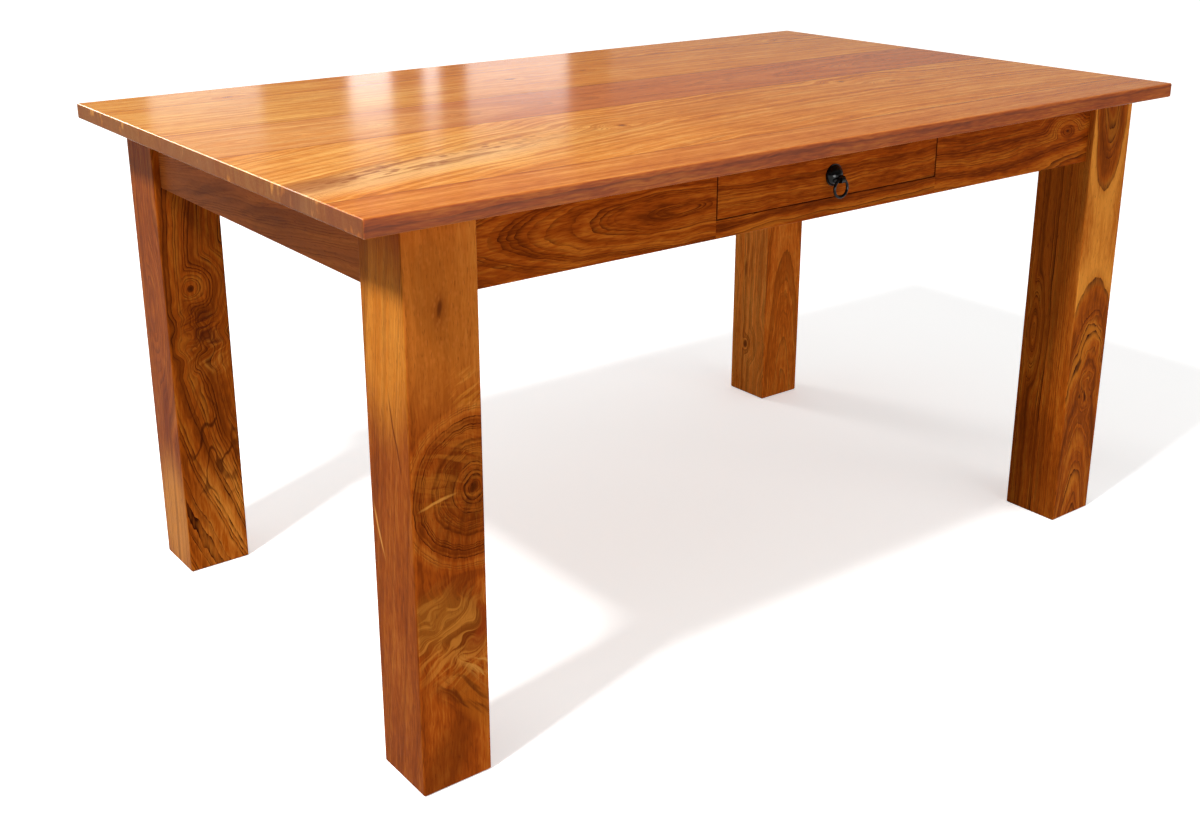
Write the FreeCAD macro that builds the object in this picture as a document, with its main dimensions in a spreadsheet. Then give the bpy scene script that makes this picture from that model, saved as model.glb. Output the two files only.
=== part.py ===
import FreeCAD, Part
import math
import os

import Sketcher
from FreeCAD import Placement, Rotation, Vector

# Dining table of solid planks on four square legs, with one inset drawer and a ring pull.
# Millimetres. The origin is on the floor under the middle of the top, +X runs along the length,
# -Y is the drawer's side and +Z is up.

SIZES = {
    # overall
    "table_length": 1500,
    "table_width": 900,
    "table_height": 760,
    "end_overhang": 60,
    "side_overhang": 30,
    # top: five planks glued edge to edge, and the wide one takes up what the others leave
    "top_thickness": 23,
    "top_edge_round": 3,
    "back_board_width": 112,
    "rear_board_width": 226,
    "middle_board_width": 177,
    "front_board_width": 85,
    # legs
    "leg_section": 100,
    "leg_edge_round": 3,
    "leg_foot_chamfer": 2,
    "corner_chamfer": 22,
    # aprons
    "apron_height": 95,
    "apron_thickness": 24,
    "apron_recess": 11,
    "apron_edge_round": 1.5,
    "rail_height": 25,
    "rail_tenon_length": 14,
    "rail_tenon_height": 15,
    "rail_tenon_thickness": 8,
    "tenon_clearance": 0.2,
    # corner braces and their hanger bolts
    "brace_gap": 3,
    "brace_thickness": 25,
    "brace_height": 62,
    "brace_drop": 12,
    "bolt_diameter": 8,
    "bolt_bite": 40,
    "bolt_spacing": 34,
    "bolt_tail": 4,
    "bolt_clearance": 0.5,
    "thread_clearance": 0.1,
    "washer_diameter": 20,
    "washer_thickness": 1.6,
    "nut_width": 13,
    "nut_height": 6.5,
    # battens that keep the top flat
    "batten_width": 60,
    "batten_height": 28,
    "batten_inset": 190,
    "batten_edge_round": 3,
    "slot_width": 6,
    "slot_length": 14,
    "screw_diameter": 4.8,
    "screw_bite": 15,
    "screw_head_diameter": 10,
    "screw_head_height": 3.5,
    # drawer
    "drawer_width": 428,
    "drawer_length": 360,
    "drawer_gap": 1.5,
    "drawer_side_gap": 2,
    "drawer_front_thickness": 22,
    "drawer_edge_round": 0.8,
    "side_thickness": 12,
    "side_height": 62,
    "tail_length": 12,
    "tail_root": 9,
    "tail_tip": 13,
    "drawer_back_thickness": 12,
    "drawer_back_inset": 12,
    "drawer_back_drop": 6,
    "bottom_thickness": 5,
    "groove_depth": 6,
    "groove_lift": 8,
    "groove_clearance": 0.2,
    # runners, kickers and stops
    "runner_height": 20,
    "runner_lap": 6,
    "guide_width": 14,
    "guide_height": 20,
    "guide_clearance": 0.4,
    "run_clearance": 0.3,
    "kicker_width": 18,
    "kicker_clearance": 0.5,
    "stop_length": 30,
    "stop_height": 25,
    # ring pull
    "pull_height": 31,
    "rose_diameter": 31,
    "rose_thickness": 2,
    "dome_diameter": 29,
    "dome_reach": 12.5,
    "eye_drop": 4,
    "eye_reach": 15,
    "eye_radius": 5.4,
    "eye_thickness": 7,
    "eye_bore": 6.2,
    "eye_root": 5,
    "ring_diameter": 29,
    "ring_wire": 4,
    "pull_bolt_diameter": 4,
    "pull_bolt_bite": 7,
    "pull_bolt_head": 8,
    "pull_bolt_head_height": 2.6,
    "pull_washer_diameter": 12,
    "pull_washer_thickness": 1,
}

# Dovetails on each drawer side.
TAILS = 3

# Places worked out from the sizes. A name used alone is another place.
PLACES = {
    "under_top": "sizes.table_height - sizes.top_thickness",
    "top_edge_y": "sizes.table_width / 2",
    "wide_board_width": "sizes.table_width - sizes.back_board_width - sizes.rear_board_width"
                        " - sizes.middle_board_width - sizes.front_board_width",
    "back_board_y": "top_edge_y - sizes.back_board_width / 2",
    "rear_board_y": "top_edge_y - sizes.back_board_width - sizes.rear_board_width / 2",
    "middle_board_y": "rear_board_y - sizes.rear_board_width / 2 - sizes.middle_board_width / 2",
    "wide_board_y": "sizes.front_board_width - top_edge_y + wide_board_width / 2",
    "front_board_y": "sizes.front_board_width / 2 - top_edge_y",
    "leg_half": "sizes.leg_section / 2",
    "leg_x": "sizes.table_length / 2 - sizes.end_overhang - leg_half",
    "leg_y": "sizes.table_width / 2 - sizes.side_overhang - leg_half",
    "leg_inner_x": "leg_x - leg_half",
    "leg_inner_y": "leg_y - leg_half",
    "apron_bottom": "under_top - sizes.apron_height",
    "apron_inset": "leg_half - sizes.apron_recess",
    "apron_face_y": "leg_y + apron_inset",
    "apron_mid_x": "leg_x + apron_inset - sizes.apron_thickness / 2",
    "apron_mid_y": "apron_face_y - sizes.apron_thickness / 2",
    "apron_back_y": "apron_face_y - sizes.apron_thickness",
    "opening_half": "sizes.drawer_width / 2 + sizes.drawer_side_gap",
    "panel_length": "leg_inner_x - opening_half",
    "panel_x": "opening_half + panel_length / 2",
    "rail_top": "apron_bottom + sizes.rail_height",
    "tenon_lift": "(sizes.rail_height - sizes.rail_tenon_height) / 2",
    "chamfer_face": "(sizes.leg_section - sizes.corner_chamfer) / sqrt(2)",
    "brace_outer": "chamfer_face + sizes.brace_gap",
    "brace_inner": "brace_outer + sizes.brace_thickness",
    "brace_seat": "apron_inset - sizes.apron_thickness",
    "brace_bottom": "under_top - sizes.brace_drop - sizes.brace_height",
    "low_bolt": "brace_bottom + sizes.brace_height / 2 - sizes.bolt_spacing / 2",
    "high_bolt": "low_bolt + sizes.bolt_spacing",
    "bolt_root": "chamfer_face - sizes.bolt_bite",
    "nut_seat": "brace_inner + sizes.washer_thickness",
    "bolt_length": "nut_seat + sizes.nut_height + sizes.bolt_tail - bolt_root",
    "batten_bottom": "under_top - sizes.batten_height",
    "batten_x": "leg_inner_x - sizes.batten_inset",
    "drawer_floor": "rail_top + sizes.drawer_gap",
    "front_height": "under_top - sizes.drawer_gap - drawer_floor",
    "front_inner_y": "sizes.drawer_front_thickness - apron_face_y",
    "front_mid_y": "sizes.drawer_front_thickness / 2 - apron_face_y",
    "side_x": "sizes.drawer_width / 2 - sizes.side_thickness / 2",
    "inside_half": "sizes.drawer_width / 2 - sizes.side_thickness",
    "tail_pitch": f"sizes.side_height / {TAILS}",
    "side_top": "drawer_floor + sizes.side_height",
    "side_rear_y": "front_inner_y + sizes.drawer_length",
    "groove_half": "inside_half + sizes.groove_depth",
    "bottom_top": "sizes.groove_lift + sizes.bottom_thickness",
    "back_length": "2 * (groove_half - sizes.groove_clearance)",
    "back_low": "bottom_top + sizes.groove_clearance",
    "back_height": "sizes.side_height - sizes.drawer_back_drop - back_low",
    "back_near": "sizes.drawer_length - sizes.drawer_back_inset - sizes.drawer_back_thickness",
    "runner_top": "drawer_floor - sizes.run_clearance",
    "runner_inner": "inside_half - sizes.runner_lap",
    "guide_inner": "sizes.drawer_width / 2 + sizes.guide_clearance",
    "guide_outer": "guide_inner + sizes.guide_width",
    "kicker_bottom": "side_top + sizes.kicker_clearance",
    "kicker_length": "2 * (apron_back_y - sizes.run_clearance)",
    "stop_y": "side_rear_y + sizes.run_clearance + sizes.stop_length / 2",
    "pull_z": "drawer_floor + sizes.pull_height",
    "eye_y": "0 - apron_face_y - sizes.eye_reach",
    "eye_z": "pull_z - sizes.eye_drop",
    "ring_radius": "(sizes.ring_diameter - sizes.ring_wire) / 2",
    "pull_bolt_seat": "front_inner_y + sizes.pull_washer_thickness",
    "pull_bolt_shank": "pull_bolt_seat + apron_face_y + sizes.pull_bolt_bite",
}

# The four corners, and the two ends or sides: which way they lie in X and Y.
CORNERS = {
    "front_left": (-1, -1),
    "front_right": (1, -1),
    "back_right": (1, 1),
    "back_left": (-1, 1),
}
SIDES = {"left": -1, "right": 1}

doc = FreeCAD.newDocument("dining_table")
sizes = doc.addObject("Spreadsheet::Sheet", "sizes")
places = doc.addObject("Spreadsheet::Sheet", "places")
nodes = []


def fill_sheet(sheet, cells, lead=""):
    """Write a sheet's named cells, one row each."""
    for row, (alias, content) in enumerate(cells.items(), start=1):
        sheet.set(f"A{row}", alias)
        sheet.set(f"B{row}", f"{lead}{content}")
        sheet.setAlias(f"B{row}", alias)
    doc.recompute()


def value(formula):
    """The number that a formula on the sheets' names comes to."""
    result = sizes.evalExpression(formula)
    return getattr(result, "Value", result)


def node(item, label):
    """List an object as a piece of the table under its own name."""
    item.Label = label
    nodes.append(item)
    return item


def put(item, x="0", y="0", z="0", turn=None):
    """Place an object by formulas, after an optional fixed turn."""
    if turn is not None:
        item.Placement = Placement(Vector(), turn)
    for axis, formula in zip("xyz", (x, y, z)):
        item.setExpression(f"Placement.Base.{axis}", formula)
    return item


def new_body(label):
    """A body that becomes one piece of the table."""
    return node(doc.addObject("PartDesign::Body", label), label)


def new_sketch(body, plane, offset=None, turn=None):
    """A sketch on one of the body's origin planes, moved and turned in that plane's own axes."""
    sketch = body.newObject("Sketcher::SketchObject", f"{body.Name}_sketch")
    support = next(item for item in body.Origin.OriginFeatures if item.Role == plane)
    sketch.AttachmentSupport = [(support, "")]
    sketch.MapMode = "FlatFace"
    if turn is not None:
        sketch.AttachmentOffset = Placement(Vector(), turn)
    for axis, formula in zip("xyz", offset or ()):
        sketch.setExpression(f"AttachmentOffset.Base.{axis}", formula)
    return sketch


def bind(sketch, constraint, formula):
    """Add a constraint and tie its size to a formula."""
    index = sketch.addConstraint(constraint)
    sketch.setExpression(f"Constraints[{index}]", formula)


def fix_point(sketch, line, end, x, y):
    """Tie one point of a sketch to its two distances from the sketch's origin."""
    bind(sketch, Sketcher.Constraint("DistanceX", -1, 1, line, end, value(x)), x)
    bind(sketch, Sketcher.Constraint("DistanceY", -1, 1, line, end, value(y)), y)


def draw_outline(sketch, points):
    """A closed run of straight lines through points given as pairs of formulas."""
    spots = [Vector(value(x), value(y), 0) for x, y in points]
    first = sketch.GeometryCount
    count = len(points)
    for index in range(count):
        sketch.addGeometry(Part.LineSegment(spots[index], spots[(index + 1) % count]), False)
    for index in range(count):
        following = first + (index + 1) % count
        sketch.addConstraint(Sketcher.Constraint("Coincident", first + index, 2, following, 1))
    for index, (x, y) in enumerate(points):
        fix_point(sketch, first + index, 1, x, y)


def draw_rectangle(sketch, width, depth, x="0", y="0"):
    """A rectangle about a centre point."""
    low_x = f"{x} - ({width}) / 2"
    high_x = f"{x} + ({width}) / 2"
    low_y = f"{y} - ({depth}) / 2"
    high_y = f"{y} + ({depth}) / 2"
    draw_outline(sketch, [(low_x, low_y), (high_x, low_y), (high_x, high_y), (low_x, high_y)])


def draw_circle(sketch, diameter, x="0", y="0"):
    """A circle about a centre point."""
    centre = Vector(value(x), value(y), 0)
    ring = sketch.addGeometry(Part.Circle(centre, Vector(0, 0, 1), value(diameter) / 2), False)
    fix_point(sketch, ring, 3, x, y)
    bind(sketch, Sketcher.Constraint("Diameter", ring, value(diameter)), diameter)


def draw_slot(sketch, length, width, y):
    """A round-ended slot along the sketch's second axis, centred on it at y."""
    radius = value(width) / 2
    reach = f"(({length}) - ({width})) / 2"
    ends = []
    for spot, start in ((f"{y} + {reach}", 0), (f"{y} - {reach}", math.pi)):
        circle = Part.Circle(Vector(0, value(spot), 0), Vector(0, 0, 1), radius)
        arc = sketch.addGeometry(Part.ArcOfCircle(circle, start, start + math.pi), False)
        fix_point(sketch, arc, 3, "0", spot)
        ends.append(arc)
    for start_arc, stop_arc in (ends, reversed(ends)):
        start = sketch.getPoint(start_arc, 2)
        stop = sketch.getPoint(stop_arc, 1)
        line = sketch.addGeometry(Part.LineSegment(start, stop), False)
        sketch.addConstraint(Sketcher.Constraint("Tangent", start_arc, 2, line, 1))
        sketch.addConstraint(Sketcher.Constraint("Tangent", line, 2, stop_arc, 1))
    bind(sketch, Sketcher.Constraint("Diameter", ends[0], value(width)), width)


def pad(body, sketch, length, both_ways=False, back=False):
    """Add a sketch's outline to the body, along its normal."""
    feature = body.newObject("PartDesign::Pad", f"{body.Name}_pad")
    feature.Profile = sketch
    feature.SideType = "Symmetric" if both_ways else "One side"
    feature.Reversed = back
    feature.setExpression("Length", length)
    doc.recompute()
    return feature


def pocket(body, sketch, length=None, both_ways=False, back=False):
    """Cut a sketch's outline out of the body, against its normal: right through with no length."""
    before = body.Shape.Volume
    feature = body.newObject("PartDesign::Pocket", f"{body.Name}_pocket")
    feature.Profile = sketch
    feature.SideType = "Symmetric" if both_ways else "One side"
    feature.Reversed = back
    if length is None:
        feature.Type = "ThroughAll"
    else:
        feature.setExpression("Length", length)
    doc.recompute()
    if body.Shape.Volume >= before:
        raise RuntimeError(f"a pocket of {body.Label} cuts nothing")
    return feature


def turn_about_axis(body, sketch):
    """Turn a profile a full turn about the sketch's upright axis."""
    feature = body.newObject("PartDesign::Revolution", f"{body.Name}_turn")
    feature.Profile = sketch
    feature.ReferenceAxis = (sketch, ["V_Axis"])
    feature.Angle = 360
    doc.recompute()


def ease(body, kind, size, chosen):
    """Round or chamfer the body's edges that a test of the edge's box picks out."""
    base = body.Tip
    names = [f"Edge{i}" for i, edge in enumerate(base.Shape.Edges, start=1) if chosen(edge.BoundBox)]
    if not names:
        raise RuntimeError(f"no edge of {body.Label} to ease")
    feature = body.newObject(f"PartDesign::{kind}", f"{body.Name}_ease")
    feature.Base = (base, names)
    feature.setExpression("Radius" if kind == "Fillet" else "Size", size)
    doc.recompute()
    return feature


def near(number, target):
    """Whether two lengths are the same to within a hundredth of a millimetre."""
    return abs(number - target) < 0.01


def runs_along(box, axis):
    """Whether an edge's box is a straight line along one axis."""
    spans = {"x": box.XLength, "y": box.YLength, "z": box.ZLength}
    return all(near(span, 0) == (name != axis) for name, span in spans.items())


def plank(label, length, depth, height, x="0", y="0", z="0"):
    """A squared piece of wood whose own origin is the middle of its underside."""
    body = new_body(label)
    outline = new_sketch(body, "XY_Plane")
    draw_rectangle(outline, length, depth)
    pad(body, outline, height)
    return put(body, x, y, z)


def cylinder(name, diameter, height):
    """A plain round rod along its own Z."""
    rod = doc.addObject("Part::Cylinder", name)
    rod.setExpression("Radius", f"({diameter}) / 2")
    rod.setExpression("Height", height)
    return rod


def cut_away(name, base, tool):
    """One solid less another."""
    result = doc.addObject("Part::Cut", name)
    result.Base = base
    result.Tool = tool
    return result


def group(label, items):
    """Several separate solids of one kind that are kept under one name."""
    compound = doc.addObject("Part::Compound", label)
    compound.Links = items
    return node(compound, label)


def make_top():
    """Five full-length planks with rounded outer edges and pilot holes for the battens' screws."""
    half_length = value("sizes.table_length / 2")
    thickness = value("sizes.top_thickness")
    boards = {
        "back": ("sizes.back_board_width", 1, False),
        "rear": ("sizes.rear_board_width", 0, True),
        "middle": ("sizes.middle_board_width", 0, True),
        "wide": ("places.wide_board_width", 0, True),
        "front": ("sizes.front_board_width", -1, False),
    }
    for name, (width, outer_side, screwed) in boards.items():
        body = plank(f"top_board_{name}", "sizes.table_length", width, "sizes.top_thickness",
                     y=f"places.{name}_board_y", z="places.under_top")
        outer_y = outer_side * value(width) / 2

        def outside(box):
            at_end = near(abs(box.Center.x), half_length)
            at_face = near(abs(box.Center.z - thickness / 2), thickness / 2)
            at_outer = outer_side != 0 and near(box.Center.y, outer_y)
            end_edge = runs_along(box, "y") and at_end and at_face
            long_edge = runs_along(box, "x") and at_outer and at_face
            corner_edge = runs_along(box, "z") and at_outer and at_end
            return end_edge or long_edge or corner_edge

        ease(body, "Fillet", "sizes.top_edge_round", outside)
        if screwed:
            pilots = new_sketch(body, "XY_Plane")
            for sign in SIDES.values():
                draw_circle(pilots, "sizes.screw_diameter + 2 * sizes.thread_clearance",
                            x=f"{sign} * places.batten_x")
            pocket(body, pilots, "sizes.screw_bite + sizes.thread_clearance", back=True)


def face_middle(sx, sy):
    """The turn about Z that points a corner piece's own diagonal at the middle of the table."""
    return Rotation(Vector(0, 0, 1), math.degrees(math.atan2(-sy, -sx)) - 45)


def diagonal_sketch(body, reach):
    """A sketch square to a corner's diagonal, at a reach from the leg's own axis."""
    offset = (f"{reach} / sqrt(2)", "0", f"0 - {reach} / sqrt(2)")
    return new_sketch(body, "XZ_Plane", offset, Rotation(Vector(0, 1, 0), -45))


def make_legs():
    """Four square legs whose inner corner is cut flat at the top to take two hanger bolts."""
    half = "places.leg_half"
    inner = f"({half} - sizes.corner_chamfer)"
    for corner, (sx, sy) in CORNERS.items():
        leg = plank(f"leg_{corner}", "sizes.leg_section", "sizes.leg_section", "places.under_top")
        ease(leg, "Fillet", "sizes.leg_edge_round", lambda box: runs_along(box, "z"))
        ease(leg, "Chamfer", "sizes.leg_foot_chamfer",
             lambda box: near(box.ZMax, 0) and near(box.ZMin, 0))
        chamfer = new_sketch(leg, "XY_Plane", ("0", "0", "places.apron_bottom"))
        draw_outline(chamfer, [(half, inner), (half, half), (inner, half)])
        pocket(leg, chamfer, back=True)
        bores = diagonal_sketch(leg, "(places.bolt_root - sizes.thread_clearance)")
        for height in ("places.low_bolt", "places.high_bolt"):
            draw_circle(bores, "sizes.bolt_diameter + 2 * sizes.thread_clearance", y=height)
        pocket(leg, bores)
        put(leg, f"{sx} * places.leg_x", f"{sy} * places.leg_y",
            turn=face_middle(sx, sy))


def ease_lower_edges(body, axis):
    """Round the two long lower edges of an apron."""
    ease(body, "Fillet", "sizes.apron_edge_round",
         lambda box: runs_along(box, axis) and near(box.Center.z, 0))


def make_aprons():
    """End and back aprons between the legs, and the front one in three pieces round the drawer."""
    height = "sizes.apron_height"
    thickness = "sizes.apron_thickness"
    low = "places.apron_bottom"
    for side, sign in SIDES.items():
        end = plank(f"apron_{side}", thickness, "2 * places.leg_inner_y", height,
                    x=f"{sign} * places.apron_mid_x", z=low)
        ease_lower_edges(end, "y")
    back = plank("apron_back", "2 * places.leg_inner_x", thickness, height,
                 y="places.apron_mid_y", z=low)
    ease_lower_edges(back, "x")
    for side, sign in SIDES.items():
        panel = plank(f"apron_front_{side}", "places.panel_length", thickness, height,
                      x=f"{sign} * places.panel_x", y="0 - places.apron_mid_y", z=low)
        ease_lower_edges(panel, "x")
        end_face = ("0", "0", f"{-sign} * places.panel_length / 2")
        mortise = new_sketch(panel, "YZ_Plane", end_face)
        draw_rectangle(mortise, "sizes.rail_tenon_thickness + 2 * sizes.tenon_clearance",
                       "sizes.rail_tenon_height + 2 * sizes.tenon_clearance",
                       y="sizes.rail_height / 2")
        pocket(panel, mortise, "sizes.rail_tenon_length + sizes.tenon_clearance", back=sign > 0)
    rail = plank("apron_front_rail", "2 * places.opening_half", thickness, "sizes.rail_height",
                 y="0 - places.apron_mid_y", z=low)
    ease_lower_edges(rail, "x")
    tenons = new_sketch(rail, "XY_Plane", ("0", "0", "places.tenon_lift"))
    draw_rectangle(tenons, "2 * (places.opening_half + sizes.rail_tenon_length)",
                   "sizes.rail_tenon_thickness")
    pad(rail, tenons, "sizes.rail_tenon_height")


def corner_point(sign, leg_place, reach):
    """Formula for a point on a corner's diagonal, at a reach from the leg's axis to the middle."""
    return f"{sign} * ({leg_place} - {reach} / sqrt(2))"


def make_braces():
    """Diagonal blocks from apron to apron, each drawn to its leg by two hanger bolts."""
    outer = "places.brace_outer * sqrt(2) + places.brace_seat"
    inner = "places.brace_inner * sqrt(2) + places.brace_seat"
    seat = "0 - places.brace_seat"
    bolts = []
    washers = []
    nuts = []
    for corner, (sx, sy) in CORNERS.items():
        brace = new_body(f"corner_brace_{corner}")
        outline = new_sketch(brace, "XY_Plane", ("0", "0", "places.brace_bottom"))
        draw_outline(outline, [(seat, outer), (seat, inner), (inner, seat), (outer, seat)])
        pad(brace, outline, "sizes.brace_height")
        holes = diagonal_sketch(brace, "places.chamfer_face")
        for height in ("places.low_bolt", "places.high_bolt"):
            draw_circle(holes, "sizes.bolt_diameter + 2 * sizes.bolt_clearance", y=height)
        pocket(brace, holes)
        put(brace, f"{sx} * places.leg_x", f"{sy} * places.leg_y",
            turn=face_middle(sx, sy))

        inward = Rotation(Vector(0, 0, 1), Vector(-sx, -sy, 0))
        for level in ("low_bolt", "high_bolt"):
            name = f"{corner}_{level}"

            def seated(item, reach):
                return put(item, corner_point(sx, "places.leg_x", reach),
                           corner_point(sy, "places.leg_y", reach), f"places.{level}", inward)

            bolt = cylinder(f"{name}_rod", "sizes.bolt_diameter", "places.bolt_length")
            bolts.append(seated(bolt, "places.bolt_root"))
            disc = cylinder(f"{name}_disc", "sizes.washer_diameter", "sizes.washer_thickness")
            hole = cylinder(f"{name}_disc_hole", "sizes.bolt_diameter + 2 * sizes.thread_clearance",
                            "sizes.washer_thickness")
            washers.append(seated(cut_away(f"{name}_washer", disc, hole), "places.brace_inner"))
            block = doc.addObject("Part::Prism", f"{name}_hexagon")
            block.Polygon = 6
            block.setExpression("Circumradius", "sizes.nut_width / sqrt(3)")
            block.setExpression("Height", "sizes.nut_height")
            thread = cylinder(f"{name}_thread", "sizes.bolt_diameter + 2 * sizes.thread_clearance",
                              "sizes.nut_height")
            nuts.append(seated(cut_away(f"{name}_nut", block, thread), "places.nut_seat"))
    group("hanger_bolts", bolts)
    group("hanger_washers", washers)
    group("hanger_nuts", nuts)


def make_battens():
    """Two battens across the planks, screwed up through slots that let the top swell and shrink."""
    board_middles = ("places.rear_board_y", "places.middle_board_y", "places.wide_board_y")
    screws = []
    for side, sign in SIDES.items():
        batten = plank(f"top_batten_{side}", "sizes.batten_width", "2 * places.apron_back_y",
                       "sizes.batten_height", x=f"{sign} * places.batten_x",
                       z="places.batten_bottom")
        ease(batten, "Fillet", "sizes.batten_edge_round",
             lambda box: runs_along(box, "y") and near(box.Center.z, 0))
        slots = new_sketch(batten, "XY_Plane")
        for middle in board_middles:
            draw_slot(slots, "sizes.slot_length", "sizes.slot_width", middle)
        pocket(batten, slots, back=True)
        for index, middle in enumerate(board_middles):
            shank = cylinder(f"{side}_shank_{index}", "sizes.screw_diameter",
                             "sizes.batten_height + sizes.screw_bite")
            head = cylinder(f"{side}_head_{index}", "sizes.screw_head_diameter",
                            "sizes.screw_head_height")
            put(head, z="0 - sizes.screw_head_height")
            screw = doc.addObject("Part::Fuse", f"{side}_screw_{index}")
            screw.Base = shank
            screw.Tool = head
            put(screw, f"{sign} * places.batten_x", middle, "places.batten_bottom")
            screws.append(screw)
    group("batten_screws", screws)


def make_runners():
    """Rails the drawer slides on, the strips that keep it level, and its stops at the back."""
    for side, sign in SIDES.items():
        runner = new_body(f"drawer_runner_{side}")
        section = new_sketch(runner, "XZ_Plane")
        profile = [
            ("places.runner_inner", "0 - sizes.runner_height"),
            ("places.guide_outer", "0 - sizes.runner_height"),
            ("places.guide_outer", "sizes.guide_height"),
            ("places.guide_inner", "sizes.guide_height"),
            ("places.guide_inner", "0"),
            ("places.runner_inner", "0"),
        ]
        draw_outline(section, [(f"{sign} * {x}", y) for x, y in profile])
        pad(runner, section, "2 * places.apron_back_y", both_ways=True)
        put(runner, z="places.runner_top")
        plank(f"drawer_kicker_{side}", "sizes.kicker_width", "places.kicker_length",
              "places.under_top - places.kicker_bottom",
              x=f"{sign} * places.side_x", z="places.kicker_bottom")
        plank(f"drawer_stop_{side}", "sizes.side_thickness", "sizes.stop_length",
              "sizes.stop_height", x=f"{sign} * places.side_x", y="places.stop_y",
              z="places.runner_top")


def tail_outline(index):
    """One dovetail seen from the side, as (depth into the front, height) from the shoulder."""
    middle = f"places.tail_pitch * {index + 0.5}"
    return [
        ("0", f"{middle} - sizes.tail_root / 2"),
        ("0 - sizes.tail_length", f"{middle} - sizes.tail_tip / 2"),
        ("0 - sizes.tail_length", f"{middle} + sizes.tail_tip / 2"),
        ("0", f"{middle} + sizes.tail_root / 2"),
    ]


def make_drawer_sides():
    """Sides with dovetails at the front, a groove for the bottom and a housing for the back."""
    outline = [("sizes.drawer_length", "0"), ("0", "0")]
    for index in range(TAILS):
        outline += tail_outline(index)
    outline += [("0", "sizes.side_height"), ("sizes.drawer_length", "sizes.side_height")]
    for side, sign in SIDES.items():
        body = new_body(f"drawer_side_{side}")
        profile = new_sketch(body, "YZ_Plane")
        draw_outline(profile, outline)
        pad(body, profile, "sizes.side_thickness", both_ways=True)
        floor = f"{sign} * (sizes.groove_depth - sizes.side_thickness / 2)"
        groove = new_sketch(body, "YZ_Plane", ("0", "0", floor))
        draw_rectangle(groove, "sizes.drawer_length",
                       "sizes.bottom_thickness + 2 * sizes.groove_clearance",
                       x="sizes.drawer_length / 2",
                       y="sizes.groove_lift + sizes.bottom_thickness / 2")
        pocket(body, groove, back=sign < 0)
        housing = new_sketch(body, "YZ_Plane", ("0", "0", floor))
        draw_rectangle(housing, "sizes.drawer_back_thickness + 2 * sizes.groove_clearance",
                       "sizes.side_height - sizes.groove_lift",
                       x="places.back_near + sizes.drawer_back_thickness / 2",
                       y="(sizes.side_height + sizes.groove_lift) / 2")
        pocket(body, housing, back=sign < 0)
        put(body, f"{sign} * places.side_x", "places.front_inner_y", "places.drawer_floor")


def make_drawer_front():
    """The flush drawer front, with sockets for the sides' dovetails and a hole for the pull."""
    body = plank("drawer_front", "sizes.drawer_width", "sizes.drawer_front_thickness",
                 "places.front_height", y="places.front_mid_y", z="places.drawer_floor")
    outer_y = -value("sizes.drawer_front_thickness") / 2
    ease(body, "Fillet", "sizes.drawer_edge_round",
         lambda box: near(box.YMin, outer_y) and near(box.YMax, outer_y))
    back_face = "sizes.drawer_front_thickness / 2"
    for sign in SIDES.values():
        end_face = ("0", "0", f"{sign} * sizes.drawer_width / 2")
        for index in range(TAILS):
            socket = new_sketch(body, "YZ_Plane", end_face)
            points = [(f"{back_face} + {y}", z) for y, z in tail_outline(index)]
            draw_outline(socket, points)
            pocket(body, socket, "sizes.side_thickness", back=sign < 0)
    groove = new_sketch(body, "XY_Plane", ("0", "0", "sizes.groove_lift - sizes.groove_clearance"))
    draw_rectangle(groove, "2 * places.inside_half", "sizes.groove_depth",
                   y=f"{back_face} - sizes.groove_depth / 2")
    pocket(body, groove, "sizes.bottom_thickness + 2 * sizes.groove_clearance", back=True)
    hole = new_sketch(body, "XZ_Plane")
    draw_circle(hole, "sizes.pull_bolt_diameter + 2 * sizes.bolt_clearance", y="sizes.pull_height")
    pocket(body, hole, both_ways=True)


def make_drawer_box():
    """The rest of the drawer: sides, back and a bottom let into grooves."""
    make_drawer_sides()
    plank("drawer_back", "places.back_length", "sizes.drawer_back_thickness", "places.back_height",
          y="places.front_inner_y + places.back_near + sizes.drawer_back_thickness / 2",
          z="places.drawer_floor + places.back_low")
    bottom = new_body("drawer_bottom")
    tongue = "places.inside_half - sizes.groove_clearance"
    full = "places.groove_half - sizes.groove_clearance"
    front = "sizes.groove_clearance - sizes.groove_depth"
    outline = new_sketch(bottom, "XY_Plane")
    right_half = [(tongue, front), (tongue, "sizes.groove_clearance"),
                  (full, "sizes.groove_clearance"), (full, "sizes.drawer_length")]
    left_half = [(f"0 - ({x})", y) for x, y in reversed(right_half)]
    draw_outline(outline, right_half + left_half)
    pad(bottom, outline, "sizes.bottom_thickness")
    put(bottom, "0", "places.front_inner_y", "places.drawer_floor + sizes.groove_lift")


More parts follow.
